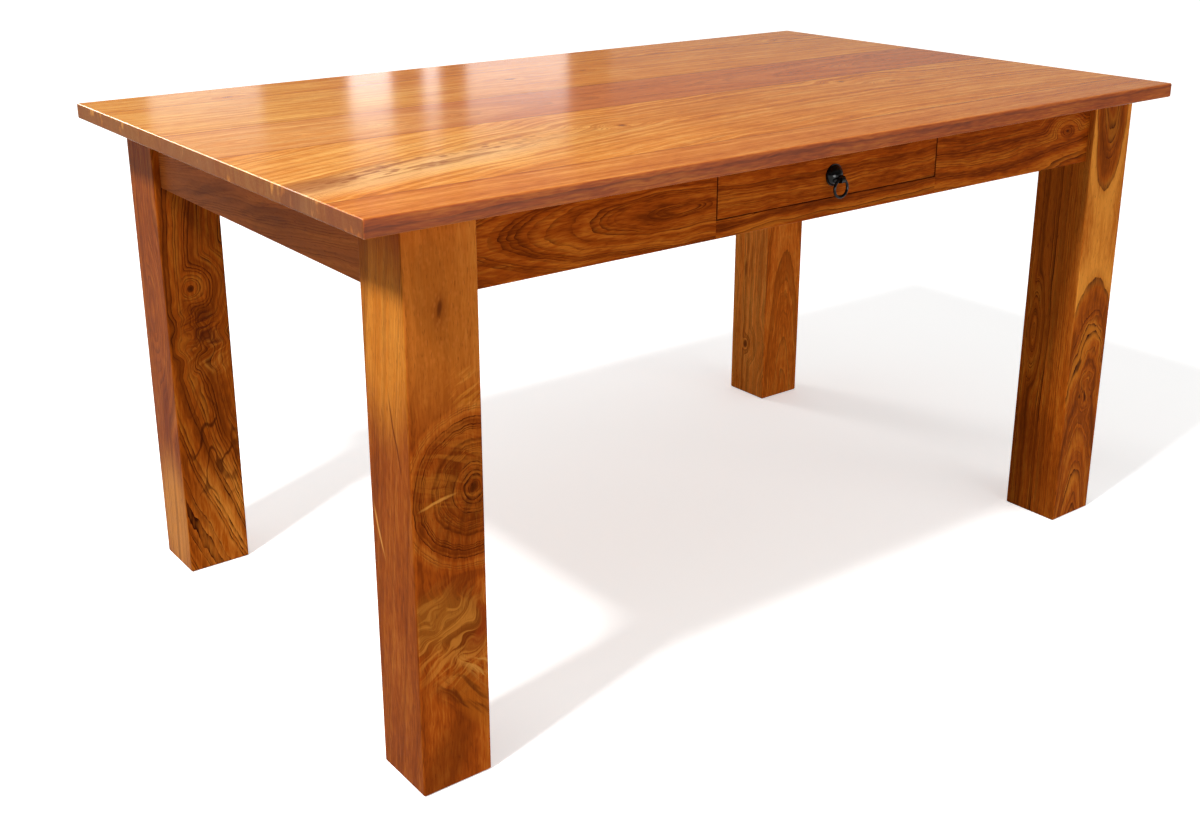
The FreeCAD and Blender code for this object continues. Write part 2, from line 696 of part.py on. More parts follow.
def make_pull_boss():
    """A cast dome on a flat rose, with a bored eye below its middle for the ring."""
    body = new_body("pull_boss")
    rose = new_sketch(body, "XY_Plane")
    draw_rectangle(rose, "sizes.rose_diameter / 2", "sizes.rose_thickness",
                   x="sizes.rose_diameter / 4", y="0 - sizes.rose_thickness / 2")
    turn_about_axis(body, rose)

    dome = new_sketch(body, "XY_Plane")
    base_x = "sizes.dome_diameter / 2"
    base_y = "0 - sizes.rose_thickness"
    tip_y = "0 - sizes.dome_reach"
    rim = Vector(value(base_x), value(base_y), 0)
    tip = Vector(0, value(tip_y), 0)
    foot = Vector(0, rim.y, 0)
    rise = foot.y - tip.y
    radius = (rim.x ** 2 + rise ** 2) / (2 * rise)
    centre = Vector(0, tip.y + radius, 0)
    bend = (rim - centre).normalize() + (tip - centre).normalize()
    shoulder = centre + bend.normalize() * radius
    arc = dome.addGeometry(Part.Arc(tip, shoulder, rim), False)
    floor = dome.addGeometry(Part.LineSegment(rim, foot), False)
    axis = dome.addGeometry(Part.LineSegment(foot, tip), False)
    dome.addConstraint(Sketcher.Constraint("Coincident", arc, 2, floor, 1))
    dome.addConstraint(Sketcher.Constraint("Coincident", floor, 2, axis, 1))
    dome.addConstraint(Sketcher.Constraint("Coincident", axis, 2, arc, 1))
    dome.addConstraint(Sketcher.Constraint("PointOnObject", arc, 3, -2))
    fix_point(dome, floor, 1, base_x, base_y)
    fix_point(dome, axis, 1, "0", base_y)
    fix_point(dome, axis, 2, "0", tip_y)
    turn_about_axis(body, dome)

    neck = new_sketch(body, "YZ_Plane")
    draw_rectangle(neck, "sizes.eye_reach - sizes.eye_root", "2 * sizes.eye_radius",
                   x="0 - (sizes.eye_reach + sizes.eye_root) / 2", y="0 - sizes.eye_drop")
    pad(body, neck, "sizes.eye_thickness", both_ways=True)
    eye = new_sketch(body, "YZ_Plane")
    draw_circle(eye, "2 * sizes.eye_radius", x="0 - sizes.eye_reach", y="0 - sizes.eye_drop")
    pad(body, eye, "sizes.eye_thickness", both_ways=True)
    bore = new_sketch(body, "YZ_Plane")
    draw_circle(bore, "sizes.eye_bore", x="0 - sizes.eye_reach", y="0 - sizes.eye_drop")
    pocket(body, bore, both_ways=True)
    thread = new_sketch(body, "XZ_Plane")
    draw_circle(thread, "sizes.pull_bolt_diameter + 2 * sizes.thread_clearance")
    pocket(body, thread, "sizes.pull_bolt_bite + sizes.thread_clearance", back=True)
    put(body, y="0 - places.apron_face_y", z="places.pull_z")


def make_pull():
    """The boss, its bolt and washer inside the drawer, and the ring that hangs in the eye."""
    make_pull_boss()
    ring = node(doc.addObject("Part::Torus", "pull_ring"), "pull_ring")
    ring.setExpression("Radius1", "places.ring_radius")
    ring.setExpression("Radius2", "sizes.ring_wire / 2")
    put(ring, "0", "places.eye_y", "places.eye_z - places.ring_radius",
        Rotation(Vector(1, 0, 0), 90))

    outward = Rotation(Vector(1, 0, 0), 90)
    disc = cylinder("pull_washer_disc", "sizes.pull_washer_diameter", "sizes.pull_washer_thickness")
    hole = cylinder("pull_washer_hole", "sizes.pull_bolt_diameter + 2 * sizes.thread_clearance",
                    "sizes.pull_washer_thickness")
    washer = node(cut_away("pull_washer", disc, hole), "pull_washer")
    put(washer, "0", "places.pull_bolt_seat", "places.pull_z", outward)

    bolt = new_body("pull_bolt")
    profile = new_sketch(bolt, "XY_Plane")
    draw_outline(profile, [
        ("0", "0 - sizes.pull_bolt_head_height"),
        ("sizes.pull_bolt_head / 2", "0 - sizes.pull_bolt_head_height"),
        ("sizes.pull_bolt_head / 2", "0"),
        ("sizes.pull_bolt_diameter / 2", "0"),
        ("sizes.pull_bolt_diameter / 2", "places.pull_bolt_shank"),
        ("0", "places.pull_bolt_shank"),
    ])
    turn_about_axis(bolt, profile)
    put(bolt, "0", "places.pull_bolt_seat", "places.pull_z", Rotation(Vector(0, 0, 1), 180))


def check_and_write():
    """Stop if any object failed, and otherwise write each piece to its own file."""
    doc.recompute()
    failed = [item.Label for item in doc.Objects if {"Invalid", "Error"} & set(item.State)]
    bad = [item.Label for item in nodes
           if item.Shape.isNull() or not item.Shape.isValid() or not item.Shape.Solids]
    if failed or bad:
        raise RuntimeError(f"failed objects: {failed}, bad shapes: {bad}")
    os.makedirs("parts", exist_ok=True)
    for item in nodes:
        item.Shape.exportStep(f"parts/{item.Label}.step")
        print(f"{item.Label}: {len(item.Shape.Solids)} solids, {item.Shape.Volume / 1000:.1f} cm3")


fill_sheet(sizes, SIZES)
fill_sheet(places, PLACES, lead="=")
make_top()
make_legs()
make_aprons()
make_braces()
make_battens()
make_runners()
make_drawer_front()
make_drawer_box()
make_pull()
check_and_write()
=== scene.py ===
"""Dining table of lacquered sheesham: finishes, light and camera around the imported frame."""
import logging
import math
from dataclasses import dataclass, field
from enum import Enum

import bmesh
import bpy
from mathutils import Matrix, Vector


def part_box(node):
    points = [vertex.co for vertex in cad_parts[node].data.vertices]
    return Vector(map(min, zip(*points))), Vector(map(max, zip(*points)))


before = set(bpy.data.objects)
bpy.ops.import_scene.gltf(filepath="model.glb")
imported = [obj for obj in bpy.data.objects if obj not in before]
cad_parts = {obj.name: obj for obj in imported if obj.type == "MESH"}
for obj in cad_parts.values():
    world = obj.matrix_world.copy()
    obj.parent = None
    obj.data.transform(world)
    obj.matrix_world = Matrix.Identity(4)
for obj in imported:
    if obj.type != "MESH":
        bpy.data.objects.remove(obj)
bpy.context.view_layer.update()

MM = 0.001
LOG = logging.getLogger("dining_table")

Socket = bpy.types.NodeSocket
Tree = bpy.types.NodeTree
Pair = tuple[float, float]
Triple = tuple[float, float, float]
Colour = tuple[float, float, float, float]

WHITE = (1, 1, 1, 1)

# Noise stays mostly between these two, which are spread to 0 and 1.
NOISE_LOW, NOISE_HIGH = 0.3, 0.7

# Sizes of the wood's patterns in millimetres, across and along the grain and into the wood. Flecks,
# fibres and pores are drawn a few times their real width, so that they show from across a room.
WAVER_SIZE = (75, 260, 75)
WOBBLE_SIZE = (34, 70, 34)
RIPPLE_SIZE = (9, 70, 9)
FLECK_SIZE = (2.2, 20, 2.2)
STREAK_SIZE = (6, 150, 6)
BLOTCH_SIZE = (50, 130, 50)
FIBRE_SIZE = (1.6, 60, 1.6)
PORE_SIZE = (1.1, 13, 1.1)
END_GRAIN_SIZE = (18, 60, 30)

# How much each pattern adds to the wood's tone.
FLECK_WEIGHT, STREAK_WEIGHT, BAND_WEIGHT, BLOTCH_WEIGHT = 0.42, 0.34, 0.55, 0.4
# Widths, in rings, of the bands of tone and of the stretches where lines lie closer or further apart,
# which of many like patterns they take, and by how many lines the stretches differ.
BAND_RINGS, UNEVEN_RINGS = 4, 6
BAND_DRAW, UNEVEN_DRAW = 3.7, 11.3
UNEVENNESS = 4.0
# Fine and bold growth lines: their spacing in rings, how narrow they are, the rings in a run of strong
# ones, and which of many like patterns to take.
GROWTH_LINES = ((1.0, 2.0, 3.0, 23.9), (3.7, 7.0, 5.0, 41.2))
# That pattern's values where lines begin to be strong and where they are, and how dark weak ones are.
WEAK_LEVEL, STRONG_LEVEL, WEAK_LINE = 0.4, 0.62, 0.1
# Growth lines are broken along their length, and nearly gone in plain wood.
BREAK_LOW, BREAK_HIGH, FAINTEST_LINE = 0.1, 0.8, 0.35
PLAIN_LINE, PLAIN_BLEND = 0.12, 10
# Sapwood begins over this many millimetres.
SAP_BLEND = 4

# A face is square to a direction where the cosine of the angle between them is over these.
FACING_LOW, FACING_HIGH = 0.66, 0.76
# A knot's heart is whole inside this share of its radius.
HEART_SHARE = 0.3
# How far a knot's heart, a pore and a glue line darken the wood.
HEART_DARKNESS, PORE_DARKNESS, SEAM_DARKNESS = 0.85, 0.5, 0.7
# Pores show where their noise is over this.
PORE_LEVEL = 0.8
# How much of the end grain's tone shows where it drank least and most, and the noise that gives most.
THIRST_LOW, THIRST_HIGH, THIRST_LEVEL = 0.5, 0.84, 0.25
# The least and the most that fibres add to the lacquer's roughness.
FIBRE_GLOSS_LOW, FIBRE_GLOSS_HIGH = -0.04, 0.05
# Heights of the wood's and the metal's relief in metres.
WOOD_RELIEF, METAL_RELIEF = 0.2 * MM, 0.1 * MM


class Kind(Enum):
    """The kinds of shader node that the finishes, floor and sky are made of."""

    COORDINATES = "TexCoord"
    GEOMETRY = "NewGeometry"
    MATH = "Math"
    VECTOR = "VectorMath"
    COMBINE = "CombineXYZ"
    SEPARATE = "SeparateXYZ"
    NOISE = "TexNoise"
    CELLS = "TexVoronoi"
    RANGE = "MapRange"
    RAMP = "ValToRGB"
    MIX = "Mix"
    BUMP = "Bump"
    SURFACE = "BsdfPrincipled"
    OUTPUT = "OutputMaterial"
    RAY = "LightPath"
    SKY = "Background"
    SKY_OUTPUT = "OutputWorld"


# A colour mix has its own sockets, after those for numbers and vectors.
MIX_FACTOR, MIX_FIRST, MIX_SECOND, MIX_RESULT = 0, 6, 7, 2


def linear(code: str) -> Colour:
    """Turn an sRGB hex colour into linear light.

    Args:
        code: Six hex digits after a hash sign.

    Returns:
        Red, green, blue and a full alpha.
    """
    parts = [int(code[start:start + 2], 16) / 255 for start in (1, 3, 5)]
    red, green, blue = (c / 12.92 if c <= 0.04045 else ((c + 0.055) / 1.055) ** 2.4 for c in parts)
    return red, green, blue, 1.0


def inverse(size: Triple) -> Triple:
    """One over each of a pattern's three sizes."""
    return tuple(1 / way for way in size)


def add_node(tree: Tree, kind: Kind, inputs: dict | None = None, out: int | str = 0,
             stops: list[tuple[float, str]] | None = None, **settings) -> Socket | None:
    """Add one node with its settings, values and links.

    Args:
        tree: The node tree to add to.
        kind: Which node.
        inputs: Each input's name or number, with a value to set or a socket to link.
        out: The name or number of the output that is wanted.
        stops: The places and hex colours of a colour ramp.
        settings: The node's own properties.

    Returns:
        The wanted output, or None for a node that has none.
    """
    node = tree.nodes.new(f"ShaderNode{kind.value}")
    for name, choice in settings.items():
        setattr(node, name, choice)
    for key, given in (inputs or {}).items():
        if isinstance(given, Socket):
            tree.links.new(given, node.inputs[key])
        else:
            node.inputs[key].default_value = given
    for index, (place, code) in enumerate(stops or []):
        elements = node.color_ramp.elements
        stop = elements[index] if index < len(elements) else elements.new(place)
        stop.position = place
        stop.color = linear(code)
    return node.outputs[out] if node.outputs else None


def empty_material(name: str) -> bpy.types.Material:
    """A new material whose nodes are still to be added."""
    made = bpy.data.materials.new(name)
    made.use_nodes = True
    made.node_tree.nodes.clear()
    return made


def cloud(tree: Tree, spot: Socket, size: Triple, detail: float, seed: float = 0.0) -> Socket:
    """Soft random patches.

    Args:
        tree: The material's nodes.
        spot: Place in millimetres.
        size: How large the patches are each way, in millimetres.
        detail: How many finer layers are laid over them.
        seed: Which of many like patterns to take.

    Returns:
        A number from 0 to 1, a half on average.
    """
    scaled = add_node(tree, Kind.VECTOR, {0: spot, 1: inverse(size)}, operation="MULTIPLY")
    noise = add_node(tree, Kind.NOISE, {"Vector": scaled, "Scale": 1.0, "Detail": detail, "W": seed},
                     noise_dimensions="4D")
    return add_node(tree, Kind.RANGE, {0: noise, 1: NOISE_LOW, 2: NOISE_HIGH})


def lay_over(tree: Tree, base: Socket | Colour, layers: list[tuple[Socket, Socket | Colour]]) -> Socket:
    """Lay tones over a colour, one after another.

    Args:
        tree: The material's nodes.
        base: The colour to start from.
        layers: How much of each tone shows, from 0 to 1, and the tone.

    Returns:
        The colour under all its layers.
    """
    for share, tone in layers:
        base = add_node(tree, Kind.MIX, {MIX_FACTOR: share, MIX_FIRST: base, MIX_SECOND: tone},
                        MIX_RESULT, data_type="RGBA")
    return base


X, Y, Z = Vector((1, 0, 0)), Vector((0, 1, 0)), Vector((0, 0, 1))


class Lay(Enum):
    """How a sawn face lies: its across, along-the-grain and into-the-wood directions."""

    TOP = (Y, X, -Z)
    FRONT_UPRIGHT = (X, Z, Y)
    LEFT_UPRIGHT = (-Y, Z, X)
    FRONT_LEVEL = (Z, X, Y)
    LEFT_LEVEL = (Z, -Y, X)
    RISING_BRACE = (Z, (X + Y).normalized(), (X - Y).normalized())
    FALLING_BRACE = (Z, (X - Y).normalized(), (X + Y).normalized())


@dataclass(frozen=True)
class Knot:
    """A branch's heart in a face, with growth rings about it, in millimetres from the face's middle.

    Its rings reach out to radius, where they join the trunk's own rings over a distance of blend.
    rate is their growth per millimetre, stretch draws them out along the grain, and core is the
    radius of the dark heart.
    """

    across: float
    along: float
    radius: float
    stretch: float = 1.0
    rate: float = 1.0
    blend: float = 10.0
    core: float = 0.0


class Form(Enum):
    """The kinds of local marking in a face."""

    PATCH = "a soft-edged area of another tone"
    SPECKS = "burl specks"
    INK = "thin dark looping lines"
    STREAKS = "wavy streaks along the grain"


PATCH, SPECKS, INK, STREAKS = Form
# A marking is whole inside this share of its oval, and fades out to the rim.
WHOLE_SHARE = 0.35
# How wide the parts of each pattern are for their length, and where in it they start and are whole.
MARK_SQUEEZE = {SPECKS: 0.6, INK: 0.45, STREAKS: 0.12}
MARK_LIMITS = {SPECKS: (0.42, 0.2), INK: (0.022, 0.008), STREAKS: (0.46, 0.62)}


@dataclass(frozen=True)
class Mark:
    """A local marking inside an oval, in millimetres from the face's middle.

    lean turns the oval, in degrees, and grain is how coarse its pattern is, in millimetres. A marking
    that only says where sapwood or a swirl lies has no colour.
    """

    form: Form
    across: float
    along: float
    half_width: float
    half_length: float
    colour: str = ""
    strength: float = 0.8
    lean: float = 0.0
    grain: float = 12.0

    def mask(self, tree: Tree, sawn: Socket) -> Socket:
        """Where the marking shows.

        Args:
            tree: The material's nodes.
            sawn: Place on the face as across, along and depth.

        Returns:
            A number from 0 to the marking's strength.
        """
        turn = math.radians(self.lean)
        wide = Vector((math.cos(turn), -math.sin(turn), 0))
        long = Vector((math.sin(turn), math.cos(turn), 0))
        middle = Vector((self.across, self.along, 0))
        moved = add_node(tree, Kind.VECTOR, {0: sawn, 1: middle}, operation="SUBTRACT")
        x, y = (add_node(tree, Kind.VECTOR, {0: moved, 1: way}, "Value", operation="DOT_PRODUCT")
                for way in (wide, long))
        flat = add_node(tree, Kind.COMBINE, {0: x, 1: y})
        oval = add_node(tree, Kind.VECTOR, {0: flat, 1: (1 / self.half_width, 1 / self.half_length, 0)},
                        operation="MULTIPLY")
        reach = add_node(tree, Kind.VECTOR, {0: oval}, "Value", operation="LENGTH")
        inside = add_node(tree, Kind.RANGE, {0: reach, 1: 1.0, 2: WHOLE_SHARE, 3: 0.0, 4: self.strength},
                          interpolation_type="SMOOTHSTEP")
        if self.form is PATCH:
            return inside
        squeeze = Vector((1, MARK_SQUEEZE[self.form], 1)) / self.grain
        fine = add_node(tree, Kind.VECTOR, {0: flat, 1: squeeze}, operation="MULTIPLY")
        if self.form is SPECKS:
            pattern = add_node(tree, Kind.CELLS, {"Vector": fine, "Scale": 1.0}, "Distance")
        elif self.form is INK:
            wave = add_node(tree, Kind.NOISE, {"Vector": fine, "Scale": 1.0, "Detail": 1.5, "W": self.grain},
                            noise_dimensions="4D")
            rise = add_node(tree, Kind.MATH, {0: wave, 1: 0.5}, operation="SUBTRACT")
            pattern = add_node(tree, Kind.MATH, {0: rise}, operation="ABSOLUTE")
        else:
            pattern = add_node(tree, Kind.NOISE, {"Vector": fine, "Scale": 1.0, "Detail": 3.0,
                                                  "Distortion": 0.8})
        start, whole = MARK_LIMITS[self.form]
        shape = add_node(tree, Kind.RANGE, {0: pattern, 1: start, 2: whole})
        return add_node(tree, Kind.MATH, {0: inside, 1: shape}, operation="MULTIPLY")


@dataclass(frozen=True)
class Swirl:
    """An oval where the grain eddies, in millimetres from the face's middle.

    amount is how far the eddies push the grain, and size how large they are.
    """

    across: float
    along: float
    half_width: float
    half_length: float
    amount: float
    size: float

    def area(self) -> Mark:
        """The swirl's oval."""
        return Mark(PATCH, self.across, self.along, self.half_width, self.half_length, strength=1.0)


@dataclass(frozen=True)
class Palette:
    """The wood's tones, from its growth lines to its sapwood."""

    line: str
    dark: str
    mid: str
    light: str
    sap: str
    sap_light: str


@dataclass(frozen=True)
class Figure:
    """How one face was sawn from its log. Lengths in millimetres.

    pith_across and pith_depth place the log's centre line across and behind the face, each as an
    offset, a slope and a bend along the grain. heart is the ring distance where sapwood begins, and
    plain the one where growth lines fade out. waver, wobble and ripple are how far the grain wanders
    over a hand's length, a knuckle's and a few millimetres. stains lie under the growth lines and
    markings over them.
    """

    lay: Lay
    pith_across: Triple
    pith_depth: Triple
    heart: float = 1000.0
    plain: float = 1000.0
    ring_width: float = 4.5
    waver: float = 12.0
    wobble: float = 4.0
    ripple: float = 3.0
    line_strength: float = 0.85
    contrast: float = 0.7
    seed: float = 0.0
    palette: Palette = field(kw_only=True)
    knots: tuple[Knot, ...] = ()
    swirls: tuple[Swirl, ...] = ()
    markings: tuple[Mark, ...] = ()
    sap_patches: tuple[Mark, ...] = ()
    stains: tuple[Mark, ...] = ()

    def origin(self, node: str) -> Vector:
        """The middle of the sawn face of a CAD node, in metres."""
        low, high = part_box(node)
        depth = self.lay.value[2]
        half = (high - low) / 2
        return (low + high) / 2 - depth * sum(abs(d) * h for d, h in zip(depth, half))

    def place(self, tree: Tree, origin: Vector) -> Socket:
        """Place on the face in millimetres, as across, along and depth."""
        spot = add_node(tree, Kind.COORDINATES, out="Object")
        local = add_node(tree, Kind.VECTOR, {0: spot, 1: (1 / MM,) * 3, 2: -origin / MM},
                         operation="MULTIPLY_ADD")
        parts = [add_node(tree, Kind.VECTOR, {0: local, 1: way}, "Value", operation="DOT_PRODUCT")
                 for way in self.lay.value]
        return add_node(tree, Kind.COMBINE, dict(enumerate(parts)))

    def bend(self, tree: Tree, sawn: Socket) -> Socket:
        """Let the grain wander, and eddy inside the swirls.

        Args:
            tree: The material's nodes.
            sawn: Place on the face in millimetres.

        Returns:
            The place with the grain's wandering added.
        """
        bent = sawn
        for size, sway in ((WAVER_SIZE, Vector((2, 0, 1)) * self.waver),
                           (WOBBLE_SIZE, Vector((2, 2, 0)) * self.wobble)):
            slow = add_node(tree, Kind.VECTOR, {0: sawn, 1: inverse(size)}, operation="MULTIPLY")
            drift = add_node(tree, Kind.NOISE, {"Vector": slow, "Scale": 1.0, "Detail": 2.0, "W": self.seed},
                             "Color", noise_dimensions="4D")
            shift = add_node(tree, Kind.VECTOR, {0: drift, 1: sway, 2: sway / -2}, operation="MULTIPLY_ADD")
            bent = add_node(tree, Kind.VECTOR, {0: bent, 1: shift}, operation="ADD")
        for swirl in self.swirls:
            eddy = add_node(tree, Kind.NOISE, {"Vector": sawn, "Scale": 1 / swirl.size, "Detail": 1.0},
                            "Color")
            push = Vector((swirl.amount, swirl.amount, 0)) * 2
            shift = add_node(tree, Kind.VECTOR, {0: eddy, 1: push, 2: push / -2}, operation="MULTIPLY_ADD")
            shift = add_node(tree, Kind.VECTOR, {0: shift, "Scale": swirl.area().mask(tree, sawn)},
                             operation="SCALE")
            bent = add_node(tree, Kind.VECTOR, {0: bent, 1: shift}, operation="ADD")
        return bent

    def rings(self, tree: Tree, sawn: Socket, bent: Socket) -> Socket:
        """Ring distance: how far each place is from the log's centre line or a branch's heart.

        Args:
            tree: The material's nodes.
            sawn: Place on the face in millimetres.
            bent: The same with the grain's wandering.

        Returns:
            The distance in millimetres.
        """
        across, along, depth = add_node(tree, Kind.SEPARATE, {0: bent}).node.outputs
        away = []
        for spot, (offset, slope, curve), step in ((across, self.pith_across, "SUBTRACT"),
                                                   (depth, self.pith_depth, "ADD")):
            rate = add_node(tree, Kind.MATH, {0: along, 1: curve, 2: slope}, operation="MULTIPLY_ADD")
            pith = add_node(tree, Kind.MATH, {0: rate, 1: along, 2: offset}, operation="MULTIPLY_ADD")
            away.append(add_node(tree, Kind.MATH, {0: spot, 1: pith}, operation=step))
        flat = add_node(tree, Kind.COMBINE, dict(enumerate(away)))
        distance = add_node(tree, Kind.VECTOR, {0: flat}, "Value", operation="LENGTH")
        for knot in self.knots:
            reach = self.from_knot(tree, bent, knot)
            start = self.trunk_distance(knot.across, knot.along) - knot.rate * knot.radius
            ring = add_node(tree, Kind.MATH, {0: reach, 1: knot.rate, 2: start}, operation="MULTIPLY_ADD")
            distance = add_node(tree, Kind.MATH, {0: distance, 1: ring, 2: knot.blend},
                                operation="SMOOTH_MIN")
        fine = add_node(tree, Kind.VECTOR, {0: sawn, 1: inverse(RIPPLE_SIZE)}, operation="MULTIPLY")
        ripple = add_node(tree, Kind.NOISE, {"Vector": fine, "Scale": 1.0, "Detail": 2.0})
        return add_node(tree, Kind.MATH, {0: ripple, 1: self.ripple, 2: distance},
                        operation="MULTIPLY_ADD")

    def from_knot(self, tree: Tree, spot: Socket, knot: Knot) -> Socket:
        """How far a place is from a knot's heart, with the knot's stretch taken out."""
        squeeze = Vector((1, 1 / knot.stretch, 0))
        middle = Vector((-knot.across, -knot.along / knot.stretch, 0))
        away = add_node(tree, Kind.VECTOR, {0: spot, 1: squeeze, 2: middle}, operation="MULTIPLY_ADD")
        return add_node(tree, Kind.VECTOR, {0: away}, "Value", operation="LENGTH")

    def trunk_distance(self, across: float, along: float) -> float:
        """How far a spot on the face is from the log's centre line."""
        aside, deep = (offset + slope * along + curve * along ** 2
                       for offset, slope, curve in (self.pith_across, self.pith_depth))
        return math.hypot(across - aside, deep)

    def by_ring(self, tree: Tree, distance: Socket, width: float, detail: float, draw: float) -> Socket:
        """Noise from 0 to 1 that changes only from ring to ring, in patches of a width in rings."""
        rate = 1 / (width * self.ring_width)
        count = add_node(tree, Kind.MATH, {0: distance, 1: rate, 2: self.seed + draw},
                         operation="MULTIPLY_ADD")
        return add_node(tree, Kind.NOISE, {"W": count, "Scale": 1.0, "Detail": detail}, noise_dimensions="1D")

    def growth_lines(self, tree: Tree, distance: Socket, streak: Socket) -> Socket:
        """Fine and bold growth lines, broken along their length.

        Args:
            tree: The material's nodes.
            distance: The ring distance in millimetres.
            streak: The pattern that breaks the lines.

        Returns:
            How dark the lines are, from 0 to 1 or a little over.
        """
        uneven = self.by_ring(tree, distance, UNEVEN_RINGS, 1.0, UNEVEN_DRAW)
        line = 0.0
        for spacing, sharpness, run, draw in GROWTH_LINES:
            rate = 1 / (spacing * self.ring_width)
            count = add_node(tree, Kind.MATH, {0: distance, 1: rate, 2: draw}, operation="MULTIPLY_ADD")
            phase = add_node(tree, Kind.MATH, {0: uneven, 1: UNEVENNESS, 2: count}, operation="MULTIPLY_ADD")
            saw = add_node(tree, Kind.MATH, {0: phase}, operation="FRACT")
            edge = add_node(tree, Kind.MATH, {0: saw, 1: sharpness}, operation="POWER")
            power = self.by_ring(tree, distance, run, 1.0, draw)
            strong = add_node(tree, Kind.RANGE, {0: power, 1: WEAK_LEVEL, 2: STRONG_LEVEL, 3: WEAK_LINE,
                                                 4: self.line_strength})
            ring = add_node(tree, Kind.MATH, {0: edge, 1: strong}, operation="MULTIPLY")
            line = add_node(tree, Kind.MATH, {0: line, 1: ring}, operation="MAXIMUM")
        fade = add_node(tree, Kind.RANGE, {0: streak, 1: BREAK_LOW, 2: BREAK_HIGH, 3: FAINTEST_LINE, 4: 1.0})
        near = add_node(tree, Kind.RANGE, {0: distance, 1: self.plain, 2: self.plain + PLAIN_BLEND, 3: 1.0,
                                           4: PLAIN_LINE})
        fade = add_node(tree, Kind.MATH, {0: fade, 1: near}, operation="MULTIPLY")
        return add_node(tree, Kind.MATH, {0: line, 1: fade}, operation="MULTIPLY")

    def colour(self, tree: Tree, sawn: Socket) -> Socket:
        """The face's colour: flecked bands, thin growth lines, sapwood and local markings.

        Args:
            tree: The material's nodes.
            sawn: Place on the face in millimetres.

        Returns:
            The colour.
        """
        tones = self.palette
        bent = self.bend(tree, sawn)
        distance = self.rings(tree, sawn, bent)
        fleck = cloud(tree, bent, FLECK_SIZE, 2.0, self.seed)
        streak = cloud(tree, bent, STREAK_SIZE, 3.0, self.seed)
        blotch = cloud(tree, sawn, BLOTCH_SIZE, 2.0, self.seed)
        band = self.by_ring(tree, distance, BAND_RINGS, 2.0, BAND_DRAW)
        band = add_node(tree, Kind.RANGE, {0: band, 1: NOISE_LOW, 2: NOISE_HIGH})

        weights = ((fleck, FLECK_WEIGHT), (streak, STREAK_WEIGHT), (band, BAND_WEIGHT * self.contrast),
                   (blotch, BLOTCH_WEIGHT * self.contrast))
        tone = 0.5 - sum(weight for _, weight in weights) / 2
        for pattern, weight in weights:
            tone = add_node(tree, Kind.MATH, {0: pattern, 1: weight, 2: tone}, operation="MULTIPLY_ADD")
        heart = add_node(tree, Kind.RAMP, {0: tone}, stops=[
            (0.1, tones.dark), (0.5, tones.mid), (0.9, tones.light)])
        sap = add_node(tree, Kind.RAMP, {0: tone}, stops=[(0.1, tones.sap), (0.9, tones.sap_light)])
        beyond = add_node(tree, Kind.RANGE, {0: distance, 1: self.heart, 2: self.heart + SAP_BLEND})
        for patch in self.sap_patches:
            beyond = add_node(tree, Kind.MATH, {0: beyond, 1: patch.mask(tree, bent)}, operation="MAXIMUM")

        layers = [(beyond, sap)]
        layers += [(stain.mask(tree, bent), linear(stain.colour)) for stain in self.stains]
        layers.append((self.growth_lines(tree, distance, streak), linear(tones.line)))
        for knot in self.knots:
            if knot.core:
                reach = self.from_knot(tree, bent, knot)
                dark = add_node(tree, Kind.RANGE, {0: reach, 1: knot.core, 2: HEART_SHARE * knot.core,
                                                   3: 0.0, 4: HEART_DARKNESS},
                                interpolation_type="SMOOTHSTEP")
                layers.append((dark, linear(tones.line)))
        layers += [(marking.mask(tree, bent), linear(marking.colour)) for marking in self.markings]
        return lay_over(tree, heart, layers)


